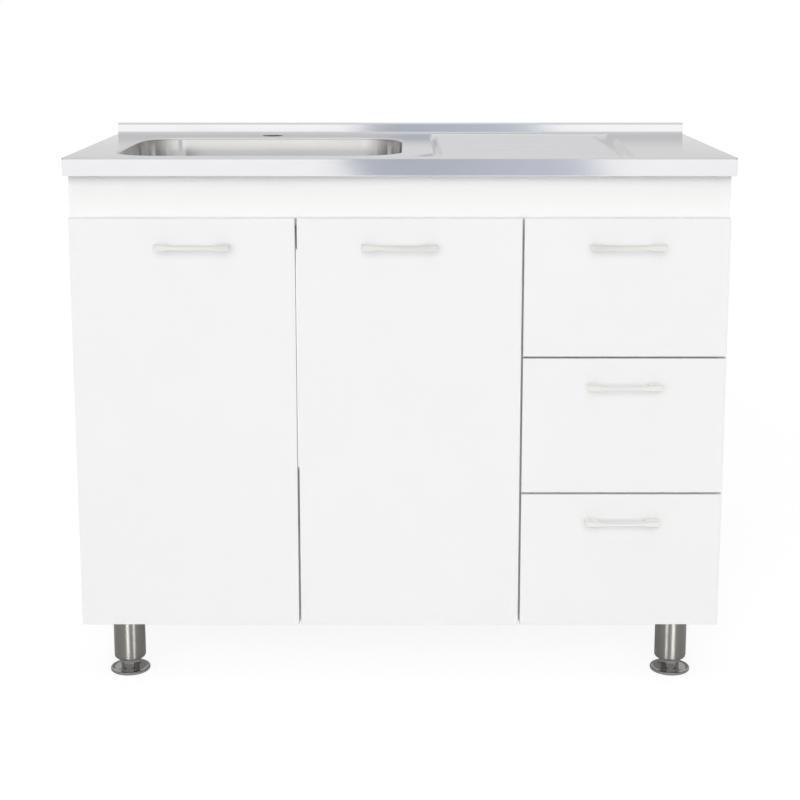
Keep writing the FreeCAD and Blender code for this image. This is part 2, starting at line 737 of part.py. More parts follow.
def make_waste_seal():
    """The rubber ring between the bowl and the waste body."""
    body = new_body("waste_ring", "At.bowl_x", "At.bowl_y", "At.bowl_under")
    inner = "Size.waste_cup_radius + Size.waste_gap"
    outer = "Size.waste_body_radius"
    turned(body, "section", [
        (inner, "-Size.seal_thickness"),
        (outer, "-Size.seal_thickness"),
        (outer, "0"),
        (inner, "0"),
    ])
    return keep(body, "waste_seal")


def make_waste_body():
    """The moulded waste body: a funnel from the seal to the outlet tail, with a screw hub."""
    top = "-Size.sheet - Size.seal_thickness"
    wall = "Size.waste_body_wall"
    neck = f"-Size.waste_body_deep"
    low = f"{neck} - Size.tail_length"
    inner = "Size.waste_cup_radius + Size.waste_gap"
    shoulder = "-Size.waste_cup_deep - Size.waste_gap"
    body = new_body("waste_funnel", "At.bowl_x", "At.bowl_y", "At.bowl_floor")
    turned(body, "section", [
        (inner, top),
        (inner, shoulder),
        (f"Size.tail_radius - {wall}", f"{neck} - {wall}"),
        (f"Size.tail_radius - {wall}", low),
        ("Size.tail_radius", low),
        ("Size.tail_radius", f"{neck} - 2 * {wall}"),
        (f"{inner} + {wall}", f"{shoulder} - {wall}"),
        (f"{inner} + {wall}", f"{top} - {wall}"),
        ("Size.waste_body_radius", f"{top} - {wall}"),
        ("Size.waste_body_radius", top),
    ])
    hub_low = "At.bowl_floor - Size.waste_body_deep"
    hub = rod("waste_hub", "At.bowl_x", "At.bowl_y", hub_low, "+Z",
              "Size.waste_hub_radius", "Size.waste_hub_height")
    reach = "Size.waste_spoke_reach"
    along = block("waste_spoke_along", f"At.bowl_x - {reach}", f"At.bowl_y - {wall} / 2",
                  hub_low, f"2 * {reach}", wall, "Size.waste_spoke_height")
    across = block("waste_spoke_across", f"At.bowl_x - {wall} / 2", f"At.bowl_y - {reach}",
                   hub_low, wall, f"2 * {reach}", "Size.waste_spoke_height")
    bore = rod("waste_hub_bore", "At.bowl_x", "At.bowl_y", hub_low, "+Z",
               "Size.clamp_screw_radius + Size.clamp_thread_gap", "Size.waste_hub_height")
    funnel = joined("waste_spider", [body, hub, along, across])
    return keep(cut("waste_shell", funnel, [bore]), "waste_body")


def make_waste_screw():
    """The screw that clamps flange, bowl, seal and waste body together."""
    seat = "At.bowl_floor - Size.waste_cup_deep + Size.waste_rim"
    top = f"{seat} + Size.clamp_head_height"
    length = ("Size.waste_body_deep - Size.waste_cup_deep + Size.waste_rim"
              " + Size.clamp_head_height")
    clamp = screw("clamp", "At.bowl_x", "At.bowl_y", top, "-Z", "Size.clamp_head_radius",
                  "Size.clamp_head_height", "Size.clamp_screw_radius", length)
    return keep(clamp, "waste_screw")


def make_strainer_basket():
    """The lift-out strainer: a pierced cup with a knob, on a stopper over the screw head."""
    body = new_body("basket", "At.bowl_x", "At.bowl_y", "At.bowl_floor")
    outer = "Size.waste_cup_radius - Size.waste_cup_wall - Size.basket_gap"
    low = ("-Size.waste_cup_deep + Size.waste_rim + Size.clamp_head_height"
           " + Size.basket_seat_gap")
    floor = f"{low} + Size.basket_stopper"
    turned(body, "section", [
        ("0", low),
        ("Size.basket_stopper_radius", low),
        ("Size.basket_stopper_radius", floor),
        (outer, floor),
        (outer, "Size.waste_rim"),
        (f"{outer} - Size.basket_wall", "Size.waste_rim"),
        (f"{outer} - Size.basket_wall", f"{floor} + Size.basket_wall"),
        ("Size.basket_post_radius", f"{floor} + Size.basket_wall"),
        ("Size.basket_post_radius", "-Size.basket_knob_height"),
        ("Size.basket_knob_radius", "-Size.basket_knob_height"),
        ("Size.basket_knob_radius", "0"),
        ("0", "0"),
    ])
    ring_of_holes(body, "Size.basket_hole_ring", "Size.basket_hole_radius", floor,
                  "Size.basket_wall")
    return keep(body, "strainer_basket")


# ---------------------------------------------------------------- carcass

SIDES = (("left", "-", "+X", "-X"), ("right", "", "-X", "+X"))

# Tools that drill each board, gathered from the screws that go into it.
drilled = {
    "side_panel_left": [],
    "side_panel_right": [],
    "divider_panel": [],
    "bottom_panel": [],
    "front_rail": [],
    "rear_rail_top": [],
    "rear_rail_bottom": [],
}


def fixing(name, x, y, z, axis):
    """A carcass screw with its head flush in the board, and the tools that cut its hole."""
    body = screw(name, x, y, z, axis, "Size.fixing_head_radius", "Size.fixing_head_height",
                 "Size.fixing_radius", "Size.fixing_length")
    gap = "Size.fixing_gap"
    sink = rod(name + "_sink", x, y, z, axis, f"Size.fixing_head_radius + {gap}",
               "Size.fixing_head_height")
    hole = rod(name + "_hole", x, y, z, axis, f"Size.fixing_radius + {gap}",
               f"Size.fixing_length + {gap}")
    return body, [sink, hole]


def side_fixings():
    """Screws through each side panel into the floor and the rails, and their cover caps."""
    half = "Size.board / 2"
    floor = f"Size.leg_height + {half}"
    spots = (
        ("floor_front", "At.carcass_front + Size.fixing_inset", floor, "bottom_panel"),
        ("floor_back", "At.carcass_back - Size.fixing_inset", floor, "bottom_panel"),
        ("front", f"At.carcass_front + {half}",
         "At.front_rail_bottom + Size.front_rail_height / 2", "front_rail"),
        ("rear_top", f"At.rail_front + {half}",
         "At.rear_rail_bottom + Size.rear_rail_height / 2", "rear_rail_top"),
        ("rear_bottom", f"At.rail_front + {half}",
         "At.floor_top + Size.rear_rail_height / 2", "rear_rail_bottom"),
    )
    screws = []
    caps = []
    for side, sign, inward, outward in SIDES:
        outer = f"{sign}At.side_outer"
        for spot, y, z, board in spots:
            name = f"fixing_{side}_{spot}"
            body, tools = fixing(name, outer, y, z, inward)
            screws.append(body)
            drilled[f"side_panel_{side}"] += tools
            drilled[board] += tools[1:]
            caps.append(rod(name + "_cap", outer, y, z, outward, "Size.cap_radius",
                            "Size.cap_height"))
    keep(loose("caps", caps), "screw_caps")
    return screws


def divider_fixings():
    """Screws into the divider, up through the floor and forward through the rear rails."""
    middle = "At.divider_left + Size.board / 2"
    screws = []
    spots = (
        ("floor_front", "At.carcass_front + Size.fixing_inset"),
        ("floor_back", "At.rail_front - Size.fixing_inset"),
    )
    for spot, y in spots:
        body, tools = fixing(f"fixing_divider_{spot}", middle, y, "Size.leg_height", "+Z")
        screws.append(body)
        drilled["bottom_panel"] += tools
        drilled["divider_panel"] += tools[1:]
    spots = (
        ("rear_rail_top", "At.rear_rail_bottom + Size.rear_rail_height / 2"),
        ("rear_rail_bottom", "At.floor_top + Size.rear_rail_height / 2"),
    )
    for rail, z in spots:
        body, tools = fixing(f"fixing_divider_{rail}", middle, "At.carcass_back", z, "-Y")
        screws.append(body)
        drilled[rail] += tools
        drilled["divider_panel"] += tools[1:]
    return screws


def finish_board(board, label):
    """Drill a board with the tools gathered for it, and keep it."""
    return keep(cut(label + "_drilled", board, drilled[label]), label)


def make_carcass():
    """Side panels, divider, floor, rails and the hardboard back of the drawer bay."""
    height = "At.deck_under - Size.leg_height"
    for side, low_x in (("left", "-At.side_outer"), ("right", "At.side_inner")):
        label = f"side_panel_{side}"
        finish_board(block(label + "_board", low_x, "At.carcass_front", "Size.leg_height",
                           "Size.board", "At.carcass_depth", height), label)
    across = "2 * At.side_inner"
    finish_board(block("bottom_board", "-At.side_inner", "At.carcass_front", "Size.leg_height",
                       across, "At.carcass_depth", "Size.board"), "bottom_panel")
    drilled["front_rail"].append(rail_hollow())
    finish_board(block("front_rail_board", "-At.side_inner", "At.carcass_front",
                       "At.front_rail_bottom", across, "Size.board",
                       "Size.front_rail_height"), "front_rail")
    for rail, z in (("rear_rail_top", "At.rear_rail_bottom"),
                    ("rear_rail_bottom", "At.floor_top")):
        finish_board(block(rail + "_board", "-At.side_inner", "At.rail_front", z, across,
                           "Size.board", "Size.rear_rail_height"), rail)
    finish_board(divider_board(), "divider_panel")
    back = block("drawer_bay_hardboard", "At.divider_left", "At.carcass_back",
                 "Size.leg_height", "At.side_outer - At.divider_left", "Size.hardboard", height)
    keep(back, "drawer_bay_back")


def rail_hollow():
    """The hollow in the back of the fascia rail that makes room for the bowl."""
    gap = "(Size.sheet + Size.rail_relief)"
    front = f"At.lip_front + Size.bowl_front - {gap}"
    return block("rail_hollow", f"At.bowl_x - Size.bowl_length / 2 - {gap}", front,
                 "At.front_rail_bottom", f"Size.bowl_length + 2 * {gap}", "Size.board",
                 "Size.front_rail_height")


def divider_board():
    """The upright between the doors and the drawers, notched for the three rails."""
    body = new_body("divider", "At.divider_left", "At.carcass_front", "At.floor_top")
    side = sketch_on(body, "YZ_Plane", "side")
    deep = "At.carcass_depth"
    tall = "At.rail_top - At.floor_top"
    board = "Size.board"
    rear = "Size.rear_rail_height"
    outline(side, [
        ("0", "0"),
        (f"{deep} - {board}", "0"),
        (f"{deep} - {board}", rear),
        (deep, rear),
        (deep, f"{tall} - {rear}"),
        (f"{deep} - {board}", f"{tall} - {rear}"),
        (f"{deep} - {board}", tall),
        (board, tall),
        (board, f"{tall} - Size.front_rail_height"),
        ("0", f"{tall} - Size.front_rail_height"),
    ])
    pad(body, side, board)
    return body


# ---------------------------------------------------------------- legs and feet

LEGS = (
    ("front_left", "-(At.side_outer - Size.leg_inset)", "At.carcass_front + Size.leg_inset"),
    ("front_right", "At.side_outer - Size.leg_inset", "At.carcass_front + Size.leg_inset"),
    ("rear_left", "-(At.side_outer - Size.leg_inset)", "At.carcass_back - Size.leg_inset"),
    ("rear_right", "At.side_outer - Size.leg_inset", "At.carcass_back - Size.leg_inset"),
)


def make_leg(name, x, y):
    """A steel tube with a rounded closed foot end, a nut inside it and an open top."""
    body = new_body("tube_" + name, x, y, "Size.leg_bottom")
    bore = "Size.stem_radius + Size.stem_gap"
    top = "Size.leg_height - Size.leg_plate - Size.leg_bottom"
    inner = "Size.leg_radius - Size.leg_wall"
    turned(body, "section", [
        (bore, "0"),
        ("Size.leg_radius - Size.leg_rounding", "0", "Size.leg_rounding", "left"),
        ("Size.leg_radius", "Size.leg_rounding"),
        ("Size.leg_radius", top),
        (inner, top),
        (inner, "Size.leg_wall + Size.leg_rounding"),
        (inner + " - Size.leg_rounding", "Size.leg_wall"),
        ("Size.nut_radius", "Size.leg_wall"),
        ("Size.nut_radius", "Size.leg_wall + Size.nut_height"),
        (bore, "Size.leg_wall + Size.nut_height"),
    ])
    return keep(body, "leg_" + name)


def make_foot(name, x, y):
    """A levelling foot: a disc, a hexagon collar for the spanner and a threaded stem."""
    body = new_body("disc_" + name, x, y, "0")
    disc = sketch_on(body, "XY_Plane", "disc")
    circle(disc, "0", "0", "Size.foot_radius")
    plate = pad(body, disc, "Size.foot_height")
    chamfer = body.newObject("PartDesign::Chamfer", plate.Name + "_bevel")
    top = number("Size.foot_height")
    rims = edges(plate, lambda spot: near(spot.z, 0) or near(spot.z, top))
    chamfer.Base = (plate, rims)
    chamfer.setExpression("Size", "Size.foot_bevel")
    document.recompute()
    collar = sketch_on(body, "XY_Plane", "collar", "Size.foot_height")
    flat = "Size.foot_collar_flats / 2"
    point = "Size.foot_collar_flats / sqrt(3)"
    outline(collar, [
        (flat, f"-({point}) / 2"),
        (flat, f"({point}) / 2"),
        ("0", point),
        (f"-{flat}", f"({point}) / 2"),
        (f"-{flat}", f"-({point}) / 2"),
        ("0", f"-({point})"),
    ])
    pad(body, collar, "Size.leg_bottom - Size.foot_stop_gap - Size.foot_height")
    stem = sketch_on(body, "XY_Plane", "stem", "Size.leg_bottom - Size.foot_stop_gap")
    circle(stem, "0", "0", "Size.stem_radius")
    pad(body, stem, "Size.stem_length")
    return keep(body, "foot_" + name)


def wood_screw(name, x, y, z, axis, thick):
    """A screw with its head on a plate, and the tool that cuts its hole below."""
    length = f"Size.wood_head_height + {thick} + Size.wood_screw_length"
    body = screw(name, x, y, z, axis, "Size.wood_head_radius", "Size.wood_head_height",
                 "Size.wood_screw_radius", length)
    hole = rod(name + "_hole", x, y, z, axis, "Size.wood_screw_radius + Size.fixing_gap",
               f"{length} + Size.fixing_gap")
    return body, hole


def make_leg_plates():
    """The square plates on top of the legs and the screws that hold them to the floor."""
    side = "Size.leg_plate_side"
    plates = []
    screws = []
    for name, x, y in LEGS:
        plate = block("plate_" + name, f"{x} - {side} / 2", f"{y} - {side} / 2",
                      "Size.leg_height - Size.leg_plate", side, side, "Size.leg_plate")
        holes = []
        for across in ("-", "+"):
            for along in ("-", "+"):
                reach = f"({side} / 2 - Size.leg_screw_inset)"
                title = f"leg_screw_{name}_{len(holes)}"
                body, hole = wood_screw(
                    title, f"{x} {across} {reach}", f"{y} {along} {reach}",
                    "Size.leg_height - Size.leg_plate - Size.wood_head_height", "+Z",
                    "Size.leg_plate")
                screws.append(body)
                holes.append(hole)
        plates.append(cut(f"plate_{name}_drilled", plate, holes))
        drilled["bottom_panel"] += holes
    keep(loose("plates", plates), "leg_plates")
    keep(loose("leg_screws", screws), "leg_plate_screws")


# ---------------------------------------------------------------- fronts

# A front's body starts at its low left corner; its y counts back from the face.


def front_board(name, x, z, width, height):
    """A melamine-faced board with lightly rounded edge bands."""
    body = new_body(name, x, "At.front_face", z)
    face = sketch_on(body, "XZ_Plane", "face")
    outline(face, [("0", "0"), (width, "0"), (width, height), ("0", height)])
    slab = pad(body, face, "Size.board", backwards=True)
    rounded(body, slab, edges(slab, lambda spot: near(spot.y, 0)), "Size.front_edge")
    return body


def drill_for_handle(body, x, z):
    """Two screw holes through a front at the handle's centre, in the front's own frame."""
    sketch = sketch_on(body, "XZ_Plane", "handle_holes")
    radius = "Size.handle_screw_radius + Size.fixing_gap"
    circle(sketch, f"{x} - Size.handle_spacing / 2", z, radius)
    circle(sketch, f"{x} + Size.handle_spacing / 2", z, radius)
    pocket(body, sketch, "Size.board")


def make_handle(name, x, z):
    """A bow handle: two broad feet and a slightly bowed bar, with blind screw holes."""
    body = new_body("bow_" + name, x, "At.front_face", z)
    plan = sketch_on(body, "XY_Plane", "plan")
    half = "Size.handle_length / 2"
    foot = f"{half} - Size.handle_post"
    reach = "Size.handle_reach"
    inside = f"{reach} - Size.handle_bar"
    shoulder = f"-({reach} - Size.handle_bow)"
    hollow = f"-({inside} - Size.handle_bow)"
    bow = f"(pow({half}; 2) + pow(Size.handle_bow; 2)) / (2 * Size.handle_bow)"
    inner_bow = f"(pow({foot}; 2) + pow(Size.handle_bow; 2)) / (2 * Size.handle_bow)"
    outline(plan, [
        (f"-({half})", "0"),
        (f"-({half})", shoulder, bow, "left"),
        (half, shoulder),
        (half, "0"),
        (foot, "0"),
        (foot, hollow, inner_bow, "right"),
        (f"-({foot})", hollow),
        (f"-({foot})", "0"),
    ])
    bar = pad(body, plan, "Size.handle_tall", both_ways=True)
    top = number("Size.handle_tall / 2")
    front = number(shoulder) + 1
    outer = edges(bar, lambda spot: near(abs(spot.z), top) and spot.y < front)
    bar = rounded(body, bar, outer, "Size.handle_edge")
    holes = sketch_on(body, "XZ_Plane", "holes")
    radius = "Size.handle_screw_radius + Size.fixing_gap"
    circle(holes, "Size.handle_spacing / 2", "0", radius)
    circle(holes, "-Size.handle_spacing / 2", "0", radius)
    pocket(body, holes, "Size.handle_screw_bite + Size.fixing_gap", backwards=True)
    return keep(body, "handle_" + name)


def make_handle_screws(name, x, z):
    """The two screws that hold a handle, put in from behind the front."""
    length = "Size.handle_head_height + Size.board + Size.handle_screw_bite"
    screws = []
    for end in ("-", "+"):
        title = f"handle_screw_{name}_{len(screws)}"
        screws.append(screw(title, f"{x} {end} Size.handle_spacing / 2",
                            "At.front_back + Size.handle_head_height", z, "-Y",
                            "Size.handle_head_radius", "Size.handle_head_height",
                            "Size.handle_screw_radius", length))
    keep(loose("handle_screws_of_" + name, screws), "handle_screws_" + name)


# ---------------------------------------------------------------- doors and hinges


def hinge_heights():
    """The heights of a door's two hinges above the door's lower edge."""
    return (("low", "Size.hinge_inset"), ("high", "(At.front_height - Size.hinge_inset)"))


def make_door(name, x, hinge_edge, inward):
    """A door with two cup bores on its hinge side and two handle screw holes."""
    body = front_board("door_" + name, x, "At.fronts_bottom", "Size.door_width",
                       "At.front_height")
    cups = sketch_on(body, "XZ_Plane", "cups", "-Size.board")
    centre = f"{hinge_edge} {inward} Size.hinge_cup_edge - ({x})"
    for _, height in hinge_heights():
        circle(cups, centre, height, "Size.hinge_cup_radius")
    pocket(body, cups, "Size.hinge_cup_deep", backwards=True)
    handle = f"{hinge_edge} {inward} Size.handle_from_hinge"
    drill_for_handle(body, f"{handle} - ({x})", "At.front_height - Size.handle_drop")
    keep(body, "door_" + name)
    z = "At.fronts_bottom + At.front_height - Size.handle_drop"
    make_handle(name, handle, z)
    make_handle_screws(name, handle, z)


def make_hinge_cups(name, hinge_edge, inward):
    """The two steel cups pressed into a door, with their flanges on its back."""
    cups = []
    centre = f"{hinge_edge} {inward} Size.hinge_cup_edge"
    flange = f"{hinge_edge} {inward} (Size.hinge_flange_edge + Size.hinge_flange_width / 2)"
    outer = "Size.hinge_cup_radius - Size.fixing_gap"
    deep = "(Size.hinge_cup_deep - Size.fixing_gap)"
    wall = "Size.hinge_cup_wall"
    for spot, height in hinge_heights():
        title = f"hinge_cup_{name}_{spot}"
        z = f"At.fronts_bottom + {height}"
        back = f"At.front_back + {wall}"
        drum = rod(title + "_drum", centre, back, z, "-Y", outer, f"{deep} + {wall}")
        plate = block(title + "_flange", f"{flange} - Size.hinge_flange_width / 2",
                      "At.front_back", f"{z} - Size.hinge_flange_height / 2",
                      "Size.hinge_flange_width", wall, "Size.hinge_flange_height")
        hollow = rod(title + "_hollow", centre, back, z, "-Y", f"{outer} - {wall}", deep)
        cups.append(cut(title, joined(title + "_shell", [drum, plate]), [hollow]))
    keep(loose("hinge_cups_of_" + name, cups), "hinge_cups_" + name)


def make_hinge_arms(name, hinge_edge, inward, wall, board):
    """The two hinge arms of a door on their mounting plates; returns their screws."""
    arms = []
    screws = []
    axis = inward + "X"
    into = "-X" if inward == "+" else "+X"
    lift = f"abs({hinge_edge} {inward} Size.hinge_nose_edge - ({wall}))"
    for spot, height in hinge_heights():
        title = f"hinge_arm_{name}_{spot}"
        z = f"At.fronts_bottom + {height}"
        plate_y = "At.carcass_front + Size.hinge_plate_setback"
        plate = slab(title + "_plate", wall, inward, lift, plate_y, z,
                     "Size.hinge_plate_depth", "Size.hinge_plate_height")
        arm = slab(title + "_bar", f"{wall} {inward} {lift}", inward,
                   "Size.hinge_arm_thickness", "At.front_face + Size.hinge_nose_depth", z,
                   "Size.hinge_arm_length", "Size.hinge_arm_width")
        holes = []
        for side in ("-", "+"):
            head = f"{wall} {inward} ({lift} + Size.wood_head_height)"
            body, hole = wood_screw(
                f"{title}_screw_{len(holes)}", head, f"{plate_y} + Size.hinge_plate_depth / 2",
                f"{z} {side} Size.hinge_screw_spread / 2", into, lift)
            screws.append(body)
            holes.append(hole)
        arms.append(cut(title, joined(title + "_whole", [plate, arm]), holes))
        drilled[board] += holes
    keep(loose("hinge_arms_of_" + name, arms), "hinge_arms_" + name)
    return screws


def slab(name, wall, inward, thickness, y, z, depth, height):
    """A block that stands off a wall towards one side, centred on a height."""
    low = wall if inward == "+" else f"{wall} - {thickness}"
    return block(name, low, y, f"{z} - {height} / 2", thickness, depth, height)


def make_doors():
    """Both doors: the left one hung on the side panel, the centre one on the divider."""
    make_door("left", "At.fronts_left", "At.fronts_left", "+")
    make_door("centre", "At.centre_door_left", "At.centre_door_right", "-")
    make_hinge_cups("left", "At.fronts_left", "+")
    make_hinge_cups("centre", "At.centre_door_right", "-")
    screws = make_hinge_arms("left", "At.fronts_left", "+", "-At.side_inner", "side_panel_left")
    screws += make_hinge_arms("centre", "At.centre_door_right", "-", "At.divider_left",
                              "divider_panel")
    keep(loose("hinge_screws", screws), "hinge_arm_screws")


# ---------------------------------------------------------------- drawers


DRAWERS = (("bottom", 0), ("middle", 1), ("top", 2))
BAY_WALLS = (("left", "At.divider_right", "+"), ("right", "At.side_inner", "-"))


def front_bottom(index):
    """The lower edge of a drawer's front."""
    return f"At.fronts_bottom + {index} * (At.drawer_front_height + Size.front_gap)"


def section(body, name, side, corners):
    """A sketch across the unit whose corners count from a bay wall towards the drawer."""
    sketch = sketch_on(body, "XZ_Plane", name)
    outline(sketch, [("0" if x == "0" else f"{side}({x})", z) for x, z in corners])
    return sketch


def make_runners(wall_name, wall, side):
    """The three channel runners on one wall of the drawer bay."""
    runners = []
    web = "Size.runner_web"
    top = "Size.runner_height"
    for name, index in DRAWERS:
        body = new_body(f"runner_{wall_name}_{name}", wall, "At.carcass_front",
                        f"{front_bottom(index)} + Size.drawer_lift")
        profile = section(body, "section", side, [
            ("0", "0"),
            ("Size.runner_shelf", "0"),
            ("Size.runner_shelf", web),
            (web, web),
            (web, f"{top} - {web}"),
            ("Size.runner_lip", f"{top} - {web}"),
            ("Size.runner_lip", top),
            ("0", top),
        ])
        pad(body, profile, "At.drawer_length", backwards=True)
        runners.append(body)
    keep(loose("runners_" + wall_name, runners), "cabinet_runners_" + wall_name)


def drawer_side(name, wall, side, z):
    """One steel drawer side: glide, bottom fold, wall and top fold in one folded strip."""
    body = new_body(name, wall, "At.front_back", z)
    steel = "Size.drawer_wall"
    low = "(Size.runner_web + Size.runner_air)"
    shelf = f"{low} + {steel}"
    glide_top = "Size.runner_height - Size.runner_web - Size.runner_air"
    top = f"{low} + Size.drawer_side_height"
    gap = "Size.drawer_side_gap"
    profile = section(body, "section", side, [
        ("Size.glide_gap", low),
        (f"{gap} + {steel} + Size.drawer_bottom_fold", low),
        (f"{gap} + {steel} + Size.drawer_bottom_fold", shelf),
        (f"{gap} + {steel}", shelf),
        (f"{gap} + {steel}", f"{top} - {steel}"),
        (f"{gap} + {steel} + Size.drawer_top_fold", f"{top} - {steel}"),
        (f"{gap} + {steel} + Size.drawer_top_fold", top),
        (gap, top),
        (gap, shelf),
        (f"Size.glide_gap + {steel}", shelf),
        (f"Size.glide_gap + {steel}", glide_top),
        ("Size.glide_gap", glide_top),
    ])
    pad(body, profile, "At.drawer_length", backwards=True)
    return body


def make_drawer(name, index):
    """A drawer: front, two steel sides, bottom and back boards, and its handle."""
    bottom = front_bottom(index)
    front = front_board("drawer_front_" + name, "At.drawers_left", bottom, "At.drawers_width",
                        "At.drawer_front_height")
    half = "At.drawers_width / 2"
    drill_for_handle(front, half, "At.drawer_front_height - Size.handle_drop")
    keep(front, "drawer_front_" + name)
    runner = f"{bottom} + Size.drawer_lift"
    sides = [drawer_side(f"drawer_side_{end}_{name}", wall, side, runner)
             for end, wall, side in BAY_WALLS]
    keep(loose("drawer_sides_of_" + name, sides), "drawer_sides_" + name)
    inset = "(Size.drawer_side_gap + Size.drawer_wall + Size.drawer_fit)"
    width = f"At.side_inner - At.divider_right - 2 * {inset}"
    shelf = f"{runner} + Size.runner_web + Size.runner_air + Size.drawer_wall"
    board = block("drawer_floor_" + name, f"At.divider_right + {inset}", "At.front_back", shelf,
                  width, "At.drawer_length", "Size.board")
    keep(board, "drawer_bottom_" + name)
    tall = ("Size.drawer_side_height - 2 * Size.drawer_wall - Size.board - Size.drawer_fit")
    back = block("drawer_rear_" + name, f"At.divider_right + {inset}",
                 "At.front_back + At.drawer_length - Size.board", f"{shelf} + Size.board",
                 width, "Size.board", tall)
    keep(back, "drawer_back_" + name)
    x = f"At.drawers_left + {half}"
    z = f"{bottom} + At.drawer_front_height - Size.handle_drop"
    make_handle(name, x, z)
    make_handle_screws(name, x, z)


# ---------------------------------------------------------------- the whole unit


def make_unit():
    """Every piece, from the sink top down to the feet."""
    make_sink_deck()
    make_sink_bowl()
    make_bench_cleats()
    make_waste_flange()
    make_waste_seal()
    make_waste_body()
    make_waste_screw()
    make_strainer_basket()
    keep(loose("fixings", side_fixings() + divider_fixings()), "carcass_screws")
    make_doors()
    make_leg_plates()
    make_carcass()
    for wall_name, wall, side in BAY_WALLS:
        make_runners(wall_name, wall, side)
    for name, index in DRAWERS:
        make_drawer(name, index)
    for name, x, y in LEGS:
        make_leg(name, x, y)
        make_foot(name, x, y)
    document.recompute()


def check_everything():
    """Stop on any object that failed, and on any sub-part that is empty or not valid."""
    for item in document.Objects:
        if "Invalid" in item.State or "Error" in item.State:
            raise RuntimeError(f"{item.Name} ({item.Label}) failed")
    for part in parts:
        if part.Shape.isNull() or not part.Shape.isValid():
            raise RuntimeError(f"{part.Label} has no valid shape")


def write_steps():
    """Write each sub-part to its own STEP file."""
    os.makedirs("parts", exist_ok=True)
    for part in parts:
        part.Shape.exportStep(f"parts/{part.Label}.step")


make_unit()
check_everything()
write_steps()
print(len(parts), "sub-parts written")
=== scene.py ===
"""Kitchen sink unit: the looks of the pressed steel sink top, the white cabinet, its
bow handles, steel legs and fittings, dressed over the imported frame."""

import json
import math

import bmesh
import bpy
import numpy as np
from mathutils.geometry import delaunay_2d_cdt
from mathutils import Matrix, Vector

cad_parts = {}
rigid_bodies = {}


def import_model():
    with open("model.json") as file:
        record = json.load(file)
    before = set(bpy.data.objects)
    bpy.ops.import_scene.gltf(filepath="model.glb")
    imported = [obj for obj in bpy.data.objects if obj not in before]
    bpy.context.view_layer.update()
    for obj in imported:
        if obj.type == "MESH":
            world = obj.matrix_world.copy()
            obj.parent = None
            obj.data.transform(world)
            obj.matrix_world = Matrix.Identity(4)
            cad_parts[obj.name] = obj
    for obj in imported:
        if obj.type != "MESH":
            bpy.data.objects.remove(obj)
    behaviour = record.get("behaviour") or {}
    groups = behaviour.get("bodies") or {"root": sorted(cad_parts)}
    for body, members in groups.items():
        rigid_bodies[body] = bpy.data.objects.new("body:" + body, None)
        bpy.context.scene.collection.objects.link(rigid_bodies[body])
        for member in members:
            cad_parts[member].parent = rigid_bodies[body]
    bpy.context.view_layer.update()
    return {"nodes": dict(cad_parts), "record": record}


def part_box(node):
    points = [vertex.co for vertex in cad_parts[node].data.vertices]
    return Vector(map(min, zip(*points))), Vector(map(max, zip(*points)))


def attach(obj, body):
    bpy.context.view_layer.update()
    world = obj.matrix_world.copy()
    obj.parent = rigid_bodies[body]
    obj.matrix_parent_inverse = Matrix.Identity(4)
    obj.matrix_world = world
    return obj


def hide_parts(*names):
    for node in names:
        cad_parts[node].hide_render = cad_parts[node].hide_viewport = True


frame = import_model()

bl_info = {
    "name": "Kitchen Sink Unit",
    "version": (1, 0, 0),
    "blender": (4, 5, 0),
    "location": "3D View > Sidebar > Sink Unit",
    "description": "Builds the sheet, handles, legs and finishes of a kitchen sink unit",
    "category": "Object",
}

MM = 1000                # the frame and the sizes are in metres, the surfaces in mm
BODY_OF = {node: body for body, nodes in frame["record"]["behaviour"]["bodies"].items()
           for node in nodes}
SLOT_OF = {part["node"]: part["material_slot"] for part in frame["record"]["subparts"]}


def box_mm(node):
    """Lowest and highest corner of a CAD node, in millimetres."""
    low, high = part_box(node)
    return np.array(low) * MM, np.array(high) * MM


DECK_LOW, DECK_HIGH = box_mm("sink_deck")
BOWL_LOW, BOWL_HIGH = box_mm("sink_bowl")
TAP_CENTRE, TAP_RADIUS = (-221.5, 190), 17.5
BOWL_DRAFT = 4           # slope of the bowl's walls, in degrees
WASTE_RADII = 60, 50, 45     # the floor's low ring, its flat seat and its hole
FLOOR_FALL = 2           # how far the bowl's floor falls to the waste


def linear(hex_colour):
    """An sRGB hex colour as three linear numbers."""
    parts = [int(hex_colour[i:i + 2], 16) / 255 for i in (0, 2, 4)]
    return tuple(p / 12.92 if p <= 0.04045 else ((p + 0.055) / 1.055) ** 2.4 for p in parts)


def length(value, name, description):
    return bpy.props.FloatProperty(name=name, description=description, default=value,
                                   min=0.0, unit="LENGTH", precision=4)


def tint(hex_colour, name, description):
    return bpy.props.FloatVectorProperty(name=name, description=description, size=3,
                                         subtype="COLOR", min=0.0, max=1.0,
                                         default=linear(hex_colour))


# ---------------------------------------------------------------- sizes and colours


